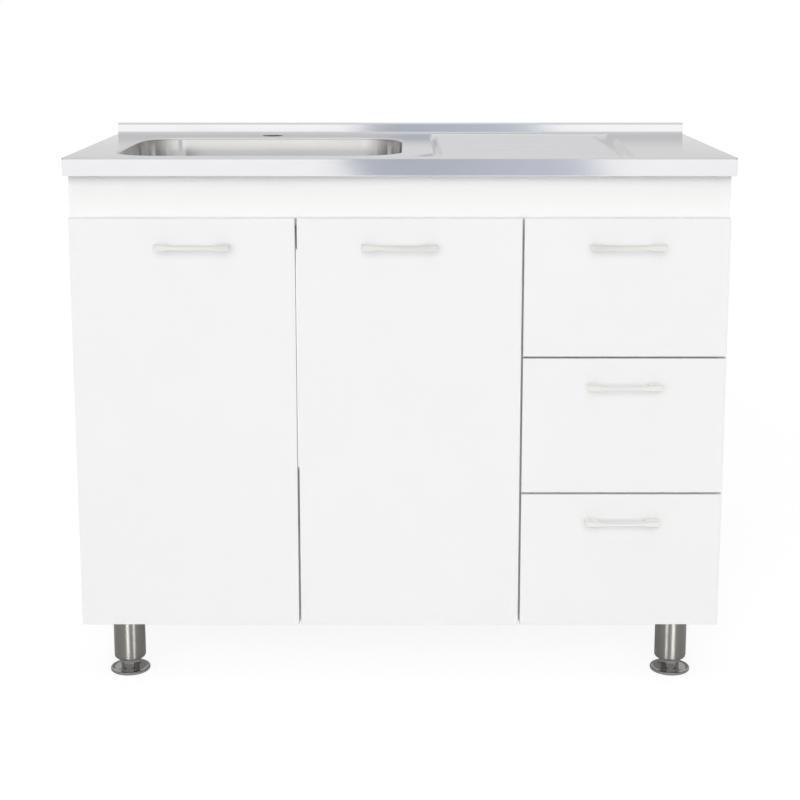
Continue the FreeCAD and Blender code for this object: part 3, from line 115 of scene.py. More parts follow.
class SinkTopSizes(bpy.types.PropertyGroup):
    sheet: length(0.001, "Sheet", "Thickness of the stainless sheet")
    bend: length(0.003, "Bend", "Outer radius of the folded edges")
    rim_roll: length(0.004, "Rim roll", "Radius of the roll round the bowl opening")
    upstand: length(0.018, "Upstand", "Height of the folded upstand above the deck")
    fold: length(0.010, "Fold", "Depth of the folded upstand")
    root: length(0.0025, "Root", "Radius at the foot of the upstand")
    lean: bpy.props.FloatProperty(name="Lean", default=math.radians(2.5), subtype="ANGLE",
                                  description="How far the upstand's face leans back")
    bowl_long: length(0.436, "Bowl length", "Length of the bowl opening")
    bowl_wide: length(0.348, "Bowl width", "Width of the bowl opening")
    bowl_corner: length(0.070, "Bowl corner", "Corner radius of the bowl opening")
    bowl_foot: length(0.035, "Bowl foot", "Radius between the bowl's walls and floor")
    drainer_deep: length(0.005, "Drainer depth", "Depth of the pressed drainer")
    rib_high: length(0.0025, "Rib height", "Height of a drainer rib")
    rib_wide: length(0.009, "Rib width", "Width of a drainer rib at its foot")
    rib_pitch: length(0.026, "Rib pitch", "Distance between two ribs")


class HandleSizes(bpy.types.PropertyGroup):
    post: length(0.019, "Foot width", "Width of each foot along the bar")
    bar: length(0.007, "Bar depth", "Depth of the bar")
    bow: length(0.003, "Bow", "How far the bar bows out at its middle")
    tall: length(0.0066, "Bar height", "Height of the bar")
    foot_tall: length(0.0092, "Foot height", "Height of each foot")
    edge: length(0.0012, "Edge", "Radius of the long edges")


class LegSizes(bpy.types.PropertyGroup):
    wall: length(0.0015, "Wall", "Wall of the leg tube")
    rounding: length(0.005, "Rounding", "Radius at the lower edge of the tube")
    flats: length(0.026, "Flats", "Distance across the collar's flats")
    thread: length(0.0015, "Thread pitch", "Distance between two threads of the stem")


class Colours(bpy.types.PropertyGroup):
    front: tint("F7F7F7", "Fronts", "White melamine of the doors and drawer fronts")
    board: tint("FAFAF9", "Boards", "White melamine of the carcass")
    sheet: tint("F2F2F4", "Sink sheet", "Polished stainless sheet")
    bowl: tint("F7F6F4", "Bowl", "Brushed stainless of the bowl")
    leg: tint("A3A19D", "Legs", "Brushed steel of the legs")
    handle: tint("FAF8F4", "Handles", "Satin nickel of the handles")


class StudioSettings(bpy.types.PropertyGroup):
    camera_x: bpy.props.FloatProperty(name="Camera across", default=0.0058, unit="LENGTH",
                                      description="Camera place along the unit")
    camera_y: bpy.props.FloatProperty(name="Camera back", default=-2.6453, unit="LENGTH",
                                      description="Camera place in front of the unit")
    camera_z: length(1.0448, "Camera height", "Camera height above the floor")
    pitch: bpy.props.FloatProperty(name="Pitch", default=math.radians(10.19),
                                   subtype="ANGLE",
                                   description="How far the camera looks down")
    lens: bpy.props.FloatProperty(name="Lens", default=73.35, subtype="DISTANCE_CAMERA",
                                  description="Focal length on a 36 mm wide sensor")
    shift_x: bpy.props.FloatProperty(name="Shift across", default=-0.0046,
                                     description="Share of the frame's width")
    shift_y: bpy.props.FloatProperty(name="Shift up", default=-0.12,
                                     description="Share of the frame's width")
    key: bpy.props.FloatProperty(name="High light", default=0.25, min=0.0,
                                 description="Strength of the high front light")
    front: bpy.props.FloatProperty(name="Front light", default=2.05, min=0.0,
                                   description="Strength of the low front light")
    fill: bpy.props.FloatProperty(name="Fill light", default=0.38, min=0.0,
                                  description="Strength of the light from all round")
    strips: bpy.props.FloatProperty(name="Leg strips", default=22.0, min=0.0,
                                    description="Watts per metre of the two strip lights")


# ---------------------------------------------------------------- meshes from arrays


def grid_triangles(rows, columns, closed=False):
    """Two triangles for each cell of a rows x columns grid of points; closed joins the
    last column to the first. Cell (i, j) gives (i,j) (i,j+1) (i+1,j+1) and (i,j)
    (i+1,j+1) (i+1,j)."""
    across = columns if closed else columns - 1
    i, j = np.meshgrid(np.arange(rows - 1), np.arange(across), indexing="ij")
    i, j = i.ravel(), j.ravel()
    k = (j + 1) % columns
    a, b = i * columns + j, i * columns + k
    c, d = (i + 1) * columns + k, (i + 1) * columns + j
    return np.concatenate([np.stack([a, b, c], 1), np.stack([a, c, d], 1)])


def grid_normals(points, closed=False):
    """Unit normals of a grid of points (rows, columns, 3): dP/dcolumn x dP/drow, with
    central differences; closed says that the columns run round."""
    down = np.gradient(points, axis=0)
    if closed:
        along = np.roll(points, -1, axis=1) - np.roll(points, 1, axis=1)
    else:
        along = np.gradient(points, axis=1)
    normals = np.cross(along, down)
    size = np.linalg.norm(normals, axis=2, keepdims=True)
    return normals / np.maximum(size, 1e-12)


def weld(patches):
    """One surface from patches of (points, normals, triangles): points that round to the
    same thousandth of a millimetre become one, and triangles that shrink to a line go."""
    points = np.concatenate([p for p, _, _ in patches])
    normals = np.concatenate([n for _, n, _ in patches])
    starts = np.cumsum([0] + [len(p) for p, _, _ in patches[:-1]])
    triangles = np.concatenate([t + s for (_, _, t), s in zip(patches, starts)])
    keys = np.round(points * 1000).astype(np.int64)
    _, first, where = np.unique(keys, axis=0, return_index=True, return_inverse=True)
    triangles = where.ravel()[triangles]
    a, b, c = triangles.T
    triangles = triangles[(a != b) & (b != c) & (c != a)]
    return points[first], normals[first], triangles


def sheet_shell(points, normals, triangles, wall):
    """A closed shell from one face of a sheet: the other face is P - wall * N, and each
    free edge gets a flat rim. Returns points, faces and a normal for each face corner."""
    count = len(points)
    start, end = triangles.ravel(), triangles[:, [1, 2, 0]].ravel()
    free = ~np.isin(start * count + end, end * count + start)
    start, end = start[free], end[free]
    both = np.concatenate([points, points - wall * normals])
    back = triangles[:, ::-1] + count
    rim = np.concatenate([np.stack([end, start, start + count], 1),
                          np.stack([end, start + count, end + count], 1)])
    rim_normal = np.cross(both[start] - both[end], both[start + count] - both[end])
    rim_normal /= np.maximum(np.linalg.norm(rim_normal, axis=1, keepdims=True), 1e-12)
    corner = np.concatenate([normals[triangles.ravel()], -normals[back.ravel() - count],
                             np.repeat(np.tile(rim_normal, (2, 1)), 3, axis=0)])
    return both, np.concatenate([triangles, back, rim]), corner


def put_piece(name, points, faces, finish, like, corner_normals=None, point_normals=None,
              uv=None):
    """A new piece, in millimetres, that stands for the CAD node `like` and rides with it.
    faces is an array of triangles or a list of index lists."""
    mesh = bpy.data.meshes.new(name)
    mesh.from_pydata((np.asarray(points) / MM).tolist(), [],
                     [list(map(int, face)) for face in faces])
    mesh.polygons.foreach_set("use_smooth", np.full(len(mesh.polygons), True))
    if uv is not None:
        layer = mesh.uv_layers.new(name="turn")
        corners = np.zeros(len(mesh.loops), np.int32)
        mesh.loops.foreach_get("vertex_index", corners)
        layer.data.foreach_set("uv", np.asarray(uv, np.float32)[corners].ravel())
    mesh.update()
    if corner_normals is not None:
        mesh.normals_split_custom_set(np.asarray(corner_normals).tolist())
    if point_normals is not None:
        mesh.normals_split_custom_set_from_vertices(np.asarray(point_normals).tolist())
    mesh.materials.append(finish)
    piece = bpy.data.objects.new(name, mesh)
    bpy.context.scene.collection.objects.link(piece)
    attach(piece, BODY_OF[like])
    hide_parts(like)
    return piece


def arc(count, start, end):
    """Sine and cosine of count + 1 even steps from one angle to another, in degrees."""
    angle = np.radians(np.linspace(start, end, count + 1))
    return np.sin(angle), np.cos(angle)


def smoothstep(value):
    """3v^2 - 2v^3 between 0 and 1, flat outside."""
    value = np.clip(value, 0, 1)
    return value * value * (3 - 2 * value)


def rounded_ring(half_long, half_wide, radius, corner=20, side=10):
    """Points and outward normals round a rounded rectangle about the origin, from its
    right side counterclockwise: each corner is centre + radius * (cos a, sin a), and
    each side an even run of points between two corners."""
    points, normals = [], []
    for turn, (sx, sy) in enumerate(((1, 1), (-1, 1), (-1, -1), (1, -1))):
        angle = np.radians(np.linspace(90 * turn, 90 * turn + 90, corner + 1))
        normal = np.stack([np.cos(angle), np.sin(angle)], 1)
        centre = np.array([sx * (half_long - radius), sy * (half_wide - radius)])
        points.append(centre + radius * normal)
        normals.append(normal)
        nx, ny = ((-1, 1), (-1, -1), (1, -1), (1, 1))[turn]
        following = np.array([nx * (half_long - radius), ny * (half_wide - radius)])
        step = np.linspace(0, 1, side + 1)[1:-1, None]
        gap = (following - centre) * step
        points.append(centre + radius * normal[-1] + gap)
        normals.append(np.repeat(normal[-1:], len(step), 0))
    return np.concatenate(points), np.concatenate(normals)


# ---------------------------------------------------------------- materials


def add(tree, kind, inputs=(), **settings):
    """Adds a node, sets its own properties, and fills its sockets with values, with
    links, or with the first output of another node."""
    node = tree.nodes.new(kind)
    for key, value in settings.items():
        setattr(node, key, value)
    for socket, value in dict(inputs).items():
        if isinstance(value, bpy.types.Node):
            value = value.outputs[0]
        if isinstance(value, bpy.types.NodeSocket):
            tree.links.new(value, node.inputs[socket])
        else:
            node.inputs[socket].default_value = value
    return node


def new_material(name):
    """An empty node material, and the object coordinates in metres."""
    material = bpy.data.materials.new(name)
    material.use_nodes = True
    tree = material.node_tree
    tree.nodes.clear()
    return material, tree, add(tree, "ShaderNodeTexCoord").outputs["Object"]


def shades(share, first, second):
    """The sockets of a colour mix: how much of the second colour, and both colours."""
    return {0: share, 6: (*first[:3], 1), 7: (*second[:3], 1)}


def grains(x_mm, y_mm, z_mm):
    """How often a grain of this size fits into a metre, along each axis."""
    return tuple(MM / size for size in (x_mm, y_mm, z_mm))


def dim(colour, factor):
    return tuple(part * factor for part in colour[:3])


def one_pattern(name, grain, detail, first, second, rough, depth_mm, strength, own):
    """A finish with one noise, whose grain is in mm. It moves the colour between two
    shades and the roughness between two values, or leaves it where rough is one number,
    and stands depth_mm proud. own holds the shader's other sockets. Returns the material,
    its tree and its shader."""
    material, tree, place = new_material(name)
    scaled = add(tree, "ShaderNodeMapping", {"Vector": place, "Scale": grains(*grain)})
    noise = add(tree, "ShaderNodeTexNoise",
                {"Vector": scaled, "Scale": 1.0, "Detail": detail})
    tone = add(tree, "ShaderNodeMix", shades(noise, first, second), data_type="RGBA")
    relief = add(tree, "ShaderNodeBump",
                 {"Height": noise, "Distance": depth_mm / MM, "Strength": strength})
    if isinstance(rough, tuple):
        rough = add(tree, "ShaderNodeMapRange",
                    {"Value": noise, "To Min": rough[0], "To Max": rough[1]})
    shader = add(tree, "ShaderNodeBsdfPrincipled", {
        "Base Color": tone.outputs[2], "Roughness": rough, "Normal": relief, **own})
    add(tree, "ShaderNodeOutputMaterial", {"Surface": shader})
    return material, tree, shader


def satin_nickel(name, colour):
    """Zinc die-casting, brushed and nickel-plated: a warm silver with a soft sheen drawn
    out along the bar. The brush lines are drawn coarse enough to show."""
    return one_pattern(name, (14, 0.25, 0.25), 3.0, dim(colour, 0.9), colour, (0.24, 0.36),
                       0.03, 0.4, {"Metallic": 1.0})[0]


def brushed_tube(name, colour):
    """Steel tube, turned against an abrasive belt and plated: the rings of fine scratches
    smear each light into a stripe along the tube. They are drawn coarse enough to show."""
    material, tree, shader = one_pattern(
        name, (30, 30, 0.3), 3.0, dim(colour, 0.88), colour, 0.34, 0.02, 0.3,
        {"Metallic": 1.0, "Anisotropic": 0.9, "Anisotropic Rotation": 0.25})
    tangent = add(tree, "ShaderNodeTangent", direction_type="UV_MAP", uv_map="turn")
    tree.links.new(tangent.outputs[0], shader.inputs["Tangent"])
    return material


def plated(name, colour, rough, speck_mm=1.5):
    """Pressed or turned steel with a bright plating: a slightly uneven metal gloss."""
    return one_pattern(name, (speck_mm,) * 3, 3.0, dim(colour, 0.86), colour,
                       (rough * 0.8, rough * 1.3), 0.03, 0.25, {"Metallic": 1.0})[0]


def moulded(name, colour, rough, ior, grain_mm=0.6):
    """Moulded plastic, rubber or sprayed powder: an even colour with a fine skin."""
    return one_pattern(name, (grain_mm,) * 3, 2.0, dim(colour, 0.93), colour,
                       (rough * 0.85, min(1.0, rough * 1.15)), 0.02, 0.4, {"IOR": ior})[0]


def hardboard(name):
    """Wet-pressed brown fibreboard: matt, with short fibres lying every way."""
    return one_pattern(name, (3.0, 3.0, 0.7), 5.0, linear("6B4A30"), linear("9A7350"),
                       0.8, 0.1, 0.6, {})[0]


def stainless_sheet(name, colour, grain, rough, brush):
    """Cold-rolled 304 stainless, polished: a clear, slightly soft mirror that shows fine
    straight polishing lines and a slow wave of the thin sheet. The lines are drawn
    coarser than the real ones, which are too fine to show."""
    material, tree, place = new_material(name)
    along = add(tree, "ShaderNodeMapping", {"Vector": place, "Scale": grains(*grain)})
    lines = add(tree, "ShaderNodeTexNoise", {"Vector": along, "Scale": 1.0, "Detail": 4.0})
    slow = add(tree, "ShaderNodeMapping", {"Vector": place, "Scale": grains(160, 160, 160)})
    wave = add(tree, "ShaderNodeTexNoise", {"Vector": slow, "Scale": 1.0, "Detail": 1.0})
    drawn = add(tree, "ShaderNodeMapping", {"Vector": place, "Scale": grains(60, 25, 25)})
    cloud = add(tree, "ShaderNodeTexNoise", {"Vector": drawn, "Scale": 1.0, "Detail": 3.0})
    waved = add(tree, "ShaderNodeBump",
                {"Height": wave, "Distance": 0.25 / MM, "Strength": 0.6})
    brushed = add(tree, "ShaderNodeBump", {"Height": lines, "Distance": brush / MM,
                                           "Strength": 0.5, "Normal": waved})
    tone = add(tree, "ShaderNodeMix", shades(cloud, dim(colour, 0.94), colour),
               data_type="RGBA")
    gloss = add(tree, "ShaderNodeMapRange",
                {"Value": lines, "To Min": rough * 0.8, "To Max": rough * 1.25})
    shader = add(tree, "ShaderNodeBsdfPrincipled", {
        "Base Color": tone.outputs[2], "Metallic": 1.0, "Roughness": gloss,
        "Normal": brushed})
    add(tree, "ShaderNodeOutputMaterial", {"Surface": shader})
    return material


def melamine(name, colour):
    """Melamine-faced chipboard, pressed against a fine satin plate: an even white with a
    soft sheen and a barely felt pebble, drawn coarser than the real one to show."""
    material, tree, place = new_material(name)
    small = add(tree, "ShaderNodeMapping", {"Vector": place, "Scale": grains(0.9, 0.9, 0.9)})
    pebble = add(tree, "ShaderNodeTexNoise", {"Vector": small, "Scale": 1.0, "Detail": 2.0})
    large = add(tree, "ShaderNodeMapping", {"Vector": place, "Scale": grains(90, 90, 90)})
    cloud = add(tree, "ShaderNodeTexNoise", {"Vector": large, "Scale": 1.0, "Detail": 2.0})
    tone = add(tree, "ShaderNodeMix", shades(cloud, dim(colour, 0.985), colour),
               data_type="RGBA")
    gloss = add(tree, "ShaderNodeMapRange", {"Value": pebble, "To Min": 0.45, "To Max": 0.58})
    felt = add(tree, "ShaderNodeBump",
               {"Height": pebble, "Distance": 0.02 / MM, "Strength": 0.35})
    shader = add(tree, "ShaderNodeBsdfPrincipled", {
        "Base Color": tone.outputs[2], "Roughness": gloss, "IOR": 1.5, "Normal": felt})
    add(tree, "ShaderNodeOutputMaterial", {"Surface": shader})
    return material


def chipboard_carcass(name, colour):
    """Melamine-faced chipboard whose front edges are banded. The faces that look straight
    back are sawn and left bare, so they show straw-coloured chips."""
    material, tree, place = new_material(name)
    small = add(tree, "ShaderNodeMapping", {"Vector": place, "Scale": grains(0.9, 0.9, 0.9)})
    pebble = add(tree, "ShaderNodeTexNoise", {"Vector": small, "Scale": 1.0, "Detail": 2.0})
    gloss = add(tree, "ShaderNodeMapRange", {"Value": pebble, "To Min": 0.4, "To Max": 0.52})
    felt = add(tree, "ShaderNodeBump",
               {"Height": pebble, "Distance": 0.02 / MM, "Strength": 0.35})
    white = add(tree, "ShaderNodeBsdfPrincipled", {
        "Base Color": (*colour[:3], 1), "Roughness": gloss, "IOR": 1.5, "Normal": felt})
    chip = add(tree, "ShaderNodeMapping", {"Vector": place, "Scale": grains(2.6, 2.6, 1.3)})
    chips = add(tree, "ShaderNodeTexVoronoi", {"Vector": chip, "Scale": 1.0})
    straw = add(tree, "ShaderNodeMix",
                shades(chips.outputs["Color"], linear("A98B62"), linear("D3B98E")),
                data_type="RGBA")
    fine = add(tree, "ShaderNodeMapping", {"Vector": place, "Scale": grains(0.5, 0.5, 0.5)})
    crumb = add(tree, "ShaderNodeTexNoise", {"Vector": fine, "Scale": 1.0, "Detail": 3.0})
    rough = add(tree, "ShaderNodeBump",
                {"Height": crumb, "Distance": 0.35 / MM, "Strength": 0.8})
    sawn = add(tree, "ShaderNodeBsdfPrincipled", {
        "Base Color": straw.outputs[2], "Roughness": 0.85, "Normal": rough})
    true_normal = add(tree, "ShaderNodeNewGeometry").outputs["True Normal"]
    facing = add(tree, "ShaderNodeSeparateXYZ", {"Vector": true_normal}).outputs["Y"]
    bare = add(tree, "ShaderNodeMath", {0: facing, 1: 0.5}, operation="GREATER_THAN")
    both = add(tree, "ShaderNodeMixShader", {0: bare, 1: white, 2: sawn})
    add(tree, "ShaderNodeOutputMaterial", {"Surface": both})
    return material


def finish_node(node, material):
    """Gives a CAD node its finish."""
    piece = frame["nodes"][node]
    if not piece.material_slots:
        piece.data.materials.append(material)
    for spot in piece.material_slots:
        spot.material = material


# ---------------------------------------------------------------- sink top


def lip_patch(sizes, run_x, run_y):
    """The front and side lips: a profile carried along the outline. The outline goes down
    the left side, round the front corners (radius = bend) and back up the right side.
    The point is base - d * n, with n the outward direction and d the profile's depth. The
    profile is a quarter turn off the deck, a straight drop and a hem turned in below."""
    bend = sizes.bend * MM
    left, front, _ = DECK_LOW
    right = DECK_HIGH[0]
    top = DECK_HIGH[2] - sizes.upstand * MM
    low = DECK_LOW[2]
    sin_c, cos_c = arc(8, 0, 90)
    one = np.ones_like(run_y)
    bases = [np.stack([left * one, run_y], 1)[::-1],
             np.stack([left + bend - bend * cos_c, front + bend - bend * sin_c], 1)[1:],
             np.stack([run_x, np.full_like(run_x, front)], 1)[1:],
             np.stack([right - bend + bend * sin_c, front + bend - bend * cos_c], 1)[1:],
             np.stack([right * one, run_y], 1)[1:]]
    outward = [np.repeat([[-1.0, 0.0]], len(run_y), 0),
               np.stack([-cos_c, -sin_c], 1)[1:],
               np.repeat([[0.0, -1.0]], len(run_x) - 1, 0),
               np.stack([sin_c, -cos_c], 1)[1:],
               np.repeat([[1.0, 0.0]], len(run_y) - 1, 0)]
    base, outward = np.concatenate(bases), np.concatenate(outward)
    sin_b, cos_b = arc(6, 0, 90)
    hem, turned_in = 1.2, 2.8
    sin_h, cos_h = arc(4, 0, 90)
    straight = np.linspace(top - bend, low + hem, 6)[1:]
    depth = np.concatenate([bend - bend * sin_b, 0 * straight, hem - hem * cos_h[1:],
                            [turned_in]])
    height = np.concatenate([top - bend + bend * cos_b, straight,
                             low + hem - hem * sin_h[1:], [low]])
    out = np.concatenate([sin_b, 1 + 0 * straight, cos_h[1:], [0]])
    up = np.concatenate([cos_b, 0 * straight, -sin_h[1:], [-1]])
    points = np.empty((len(base), len(depth), 3))
    points[..., :2] = base[:, None] - depth[None, :, None] * outward[:, None]
    points[..., 2] = height
    normals = np.empty_like(points)
    normals[..., :2] = out[None, :, None] * outward[:, None]
    normals[..., 2] = up
    rows, columns = points.shape[:2]
    return points.reshape(-1, 3), normals.reshape(-1, 3), grid_triangles(rows, columns)


def upstand_patch(sizes, run_x):
    """The upstand: a root curve off the deck, a face that leans back, a fold of two bends
    and a back face down to the lips' lower edge, carried along the unit. The lean moves
    the face and the first bend back by tan(lean) times their height over the deck."""
    bend, root = sizes.bend * MM, sizes.root * MM
    top, back, low = DECK_HIGH[2], DECK_HIGH[1], DECK_LOW[2]
    deck = top - sizes.upstand * MM
    face = back - sizes.fold * MM
    sin_a, cos_a = arc(6, 0, 90)
    rise = np.linspace(deck + root, top - bend, 4)[1:-1]
    drop = np.linspace(top - bend, low, 6)[1:]
    y = np.concatenate([face - root + root * sin_a, face + 0 * rise,
                        face + bend - bend * cos_a, back - bend + bend * sin_a,
                        back + 0 * drop])
    z = np.concatenate([deck + root - root * cos_a, rise, top - bend + bend * sin_a,
                        top - bend + bend * cos_a, drop])
    ny = np.concatenate([-sin_a, -1 + 0 * rise, -cos_a, sin_a, 1 + 0 * drop])
    nz = np.concatenate([cos_a, 0 * rise, sin_a, cos_a, 0 * drop])
    leaning = math.tan(sizes.lean) * (np.arange(len(y)) < 2 * len(sin_a) + len(rise))
    y = y + leaning * (z - deck)
    nz = nz - leaning * ny
    points = np.empty((len(y), len(run_x), 3))
    points[..., 0] = run_x
    points[..., 1] = y[:, None]
    points[..., 2] = z[:, None]
    normals = np.zeros_like(points)
    normals[..., 1] = ny[:, None]
    normals[..., 2] = nz[:, None]
    return points.reshape(-1, 3), normals.reshape(-1, 3), grid_triangles(*points.shape[:2])


def drainer_patch(sizes):
    """The pressed drainer as a height over the plan: depth * L * R * F * B, each factor a
    smoothstep of the distance from one edge over that wall's width, plus the ribs,
    height * cos^2(pi v / 2) across and smoothstep along. The left edge is straight and
    rounds to the left at the front: x = centre + sqrt(radius^2 - min(y - centre, 0)^2).
    The right wall is a ramp that widens to the back. Returns the patch and its border,
    counterclockwise."""
    deck = DECK_HIGH[2] - sizes.upstand * MM
    front, back = DECK_LOW[1] + 20, DECK_HIGH[1] - 25
    round_x, round_y, edge_radius, rib_radius = -68, -137, 118, 130
    right_front, right_lean, rib_end = 352, 20, 343
    first_rib, last_index = 30, 15
    left_band, right_band = 30, 44       # bands along the ends with a finer grid
    across = np.concatenate([np.linspace(0, 10, 11), np.linspace(12, 440, 322),
                             np.linspace(445, back - front, 11)])
    y = front + across

    def arc_edge(radius, at):
        return round_x + np.sqrt(radius ** 2 - np.minimum(at - round_y, 0) ** 2)

    share = (y - front) / (back - front)
    left = arc_edge(edge_radius, y)
    right = right_front + right_lean * share
    near_left = np.linspace(0, left_band, 25)
    near_right = np.linspace(right_band, 0, 34)
    middle = np.linspace(0, 1, 12)[1:-1]
    rest = right - left - (left_band + right_band)
    x = np.concatenate([left[:, None] + near_left,
                        (left + left_band)[:, None] + rest[:, None] * middle,
                        right[:, None] - near_right], axis=1)
    y = np.broadcast_to(y[:, None], x.shape)
    ramp = 4 + 12 * share[:, None]
    walls = (smoothstep((x - left[:, None]) / 5) * smoothstep((right[:, None] - x) / ramp)
             * smoothstep((y - front) / 4) * smoothstep((back - y) / 5))
    pitch = sizes.rib_pitch * MM
    first = front + first_rib
    index = np.clip(np.round((y - first) / pitch), 0, last_index)
    middle_y = first + index * pitch
    across_rib = np.clip((y - middle_y) / (sizes.rib_wide * MM / 2), -1, 1)
    rib_start = arc_edge(rib_radius, middle_y)
    rib = (np.cos(across_rib * np.pi / 2) ** 2 * smoothstep((x - rib_start + 3) / 9)
           * smoothstep((rib_end - x) / 9))
    z = deck - sizes.drainer_deep * MM * walls + sizes.rib_high * MM * rib * walls
    points = np.stack([x, y, z], axis=2)
    normals = grid_normals(points)
    for edge in (np.s_[0], np.s_[-1], np.s_[:, 0], np.s_[:, -1]):
        normals[edge] = (0, 0, 1)
    rows, columns = x.shape
    border = np.concatenate([points[0], points[1:, -1], points[-1, -2::-1],
                             points[-2:0:-1, 0]])[:, :2]
    triangles = grid_triangles(rows, columns)
    return (points.reshape(-1, 3), normals.reshape(-1, 3), triangles), border


def inside(loop, spots):
    """Which spots lie in a closed loop: an odd number of its edges pass to their right."""
    x0, y0 = loop.T
    x1, y1 = np.roll(loop, -1, 0).T
    px, py = spots[:, :1], spots[:, 1:]
    crosses = (y0 > py) != (y1 > py)
    slope = np.where(y1 == y0, 1, y1 - y0)
    return (crosses & (px < x0 + (py - y0) * (x1 - x0) / slope)).sum(1) % 2 == 1


def flat_patch(border, holes, height):
    """The flat deck between its border and its holes, as constrained triangles at one
    height, all facing up."""
    loops = [border, *holes]
    spots = np.concatenate(loops)
    edges, start = [], 0
    for loop in loops:
        index = np.arange(len(loop)) + start
        edges.append(np.stack([index, np.roll(index, -1)], 1))
        start += len(loop)
    made = delaunay_2d_cdt([tuple(spot) for spot in spots.tolist()],
                           np.concatenate(edges).tolist(), [], 0, 1e-6)
    flat = np.array([tuple(spot) for spot in made[0]])
    triangles = np.array(made[2])
    centres = flat[triangles].mean(1)
    keep = inside(border, centres)
    for hole in holes:
        keep &= ~inside(hole, centres)
    triangles = triangles[keep]
    a, b, c = (flat[triangles[:, i]] for i in range(3))
    turned = (b - a)[:, 0] * (c - a)[:, 1] - (b - a)[:, 1] * (c - a)[:, 0] < 0
    triangles[turned] = triangles[turned][:, ::-1]
    points = np.column_stack([flat, np.full(len(flat), height)])
    normals = np.tile([0.0, 0.0, 1.0], (len(flat), 1))
    return points, normals, triangles


def bowl_centre():
    return (BOWL_LOW[:2] + BOWL_HIGH[:2]) / 2


def rim_patch(sizes, deck):
    """The roll round the bowl opening: e = r - r sin a outward from the opening and
    z = deck - r + r cos a, carried round the opening, for a from 0 to where the bowl's
    wall goes on, which is 90 degrees less the wall's slope."""
    roll = sizes.rim_roll * MM
    ring, outward = rounded_ring(sizes.bowl_long * MM / 2, sizes.bowl_wide * MM / 2,
                                 sizes.bowl_corner * MM)
    sin_a, cos_a = arc(7, 0, 90 - BOWL_DRAFT)
    e, z = roll - roll * sin_a, deck - roll + roll * cos_a
    points = np.empty((len(e), len(ring), 3))
    points[..., :2] = bowl_centre() + ring[None] + e[:, None, None] * outward[None]
    points[..., 2] = z[:, None]
    normals = np.empty_like(points)
    normals[..., :2] = -sin_a[:, None, None] * outward[None]
    normals[..., 2] = cos_a[:, None]
    triangles = grid_triangles(len(e), len(ring), closed=True)
    return (points.reshape(-1, 3), normals.reshape(-1, 3), triangles), points[0, :, :2]


class SINKUNIT_OT_sink_top(bpy.types.Operator):
    """Presses the sink top: deck, lips, folded upstand, rolled bowl rim and drainer"""

    bl_idname = "sinkunit.sink_top"
    bl_label = "Sink Top"

    def execute(self, context):
        sizes = context.scene.sink_top
        bend, root = sizes.bend * MM, sizes.root * MM
        deck = DECK_HIGH[2] - sizes.upstand * MM
        left, front, _ = DECK_LOW
        right, back, _ = DECK_HIGH
        run_x = np.linspace(left + bend, right - bend, 41)
        flat_back = back - sizes.fold * MM - root
        run_y = np.linspace(front + bend, flat_back, 21)
        under_fold = np.array([flat_back + 6, back - 1.2])
        lips = lip_patch(sizes, run_x, np.concatenate([run_y, under_fold]))
        upstand = upstand_patch(sizes, np.concatenate([[left], run_x, [right]]))
        drainer, drainer_edge = drainer_patch(sizes)
        rim, rim_edge = rim_patch(sizes, deck)
        tap_sin, tap_cos = arc(64, 0, 360)
        tap = np.stack([TAP_CENTRE[0] + TAP_RADIUS * tap_cos,
                        TAP_CENTRE[1] + TAP_RADIUS * tap_sin], 1)[:-1]
        one_x, one_y = np.ones(len(run_x)), np.ones(len(run_y))
        border = np.concatenate([
            np.stack([run_x, (front + bend) * one_x], 1),
            np.stack([(right - bend) * one_y, run_y], 1)[1:],
            np.stack([run_x[::-1], flat_back * one_x], 1)[1:],
            np.stack([(left + bend) * one_y, run_y[::-1]], 1)[1:-1]])
        flat = flat_patch(border, [rim_edge, tap, drainer_edge], deck)
        surface = weld([flat, lips, upstand, drainer, rim])
        wall = sizes.sheet * MM * 0.9    # stays clear of the boards under the sheet
        points, faces, corner = sheet_shell(*surface, wall)
        finish = stainless_sheet("polished_stainless_sheet", context.scene.colours.sheet,
                                 grain=(40, 0.35, 0.35), rough=0.10, brush=0.015)
        put_piece("sink_top_sheet", points, faces, finish, "sink_deck", corner)
        return {"FINISHED"}


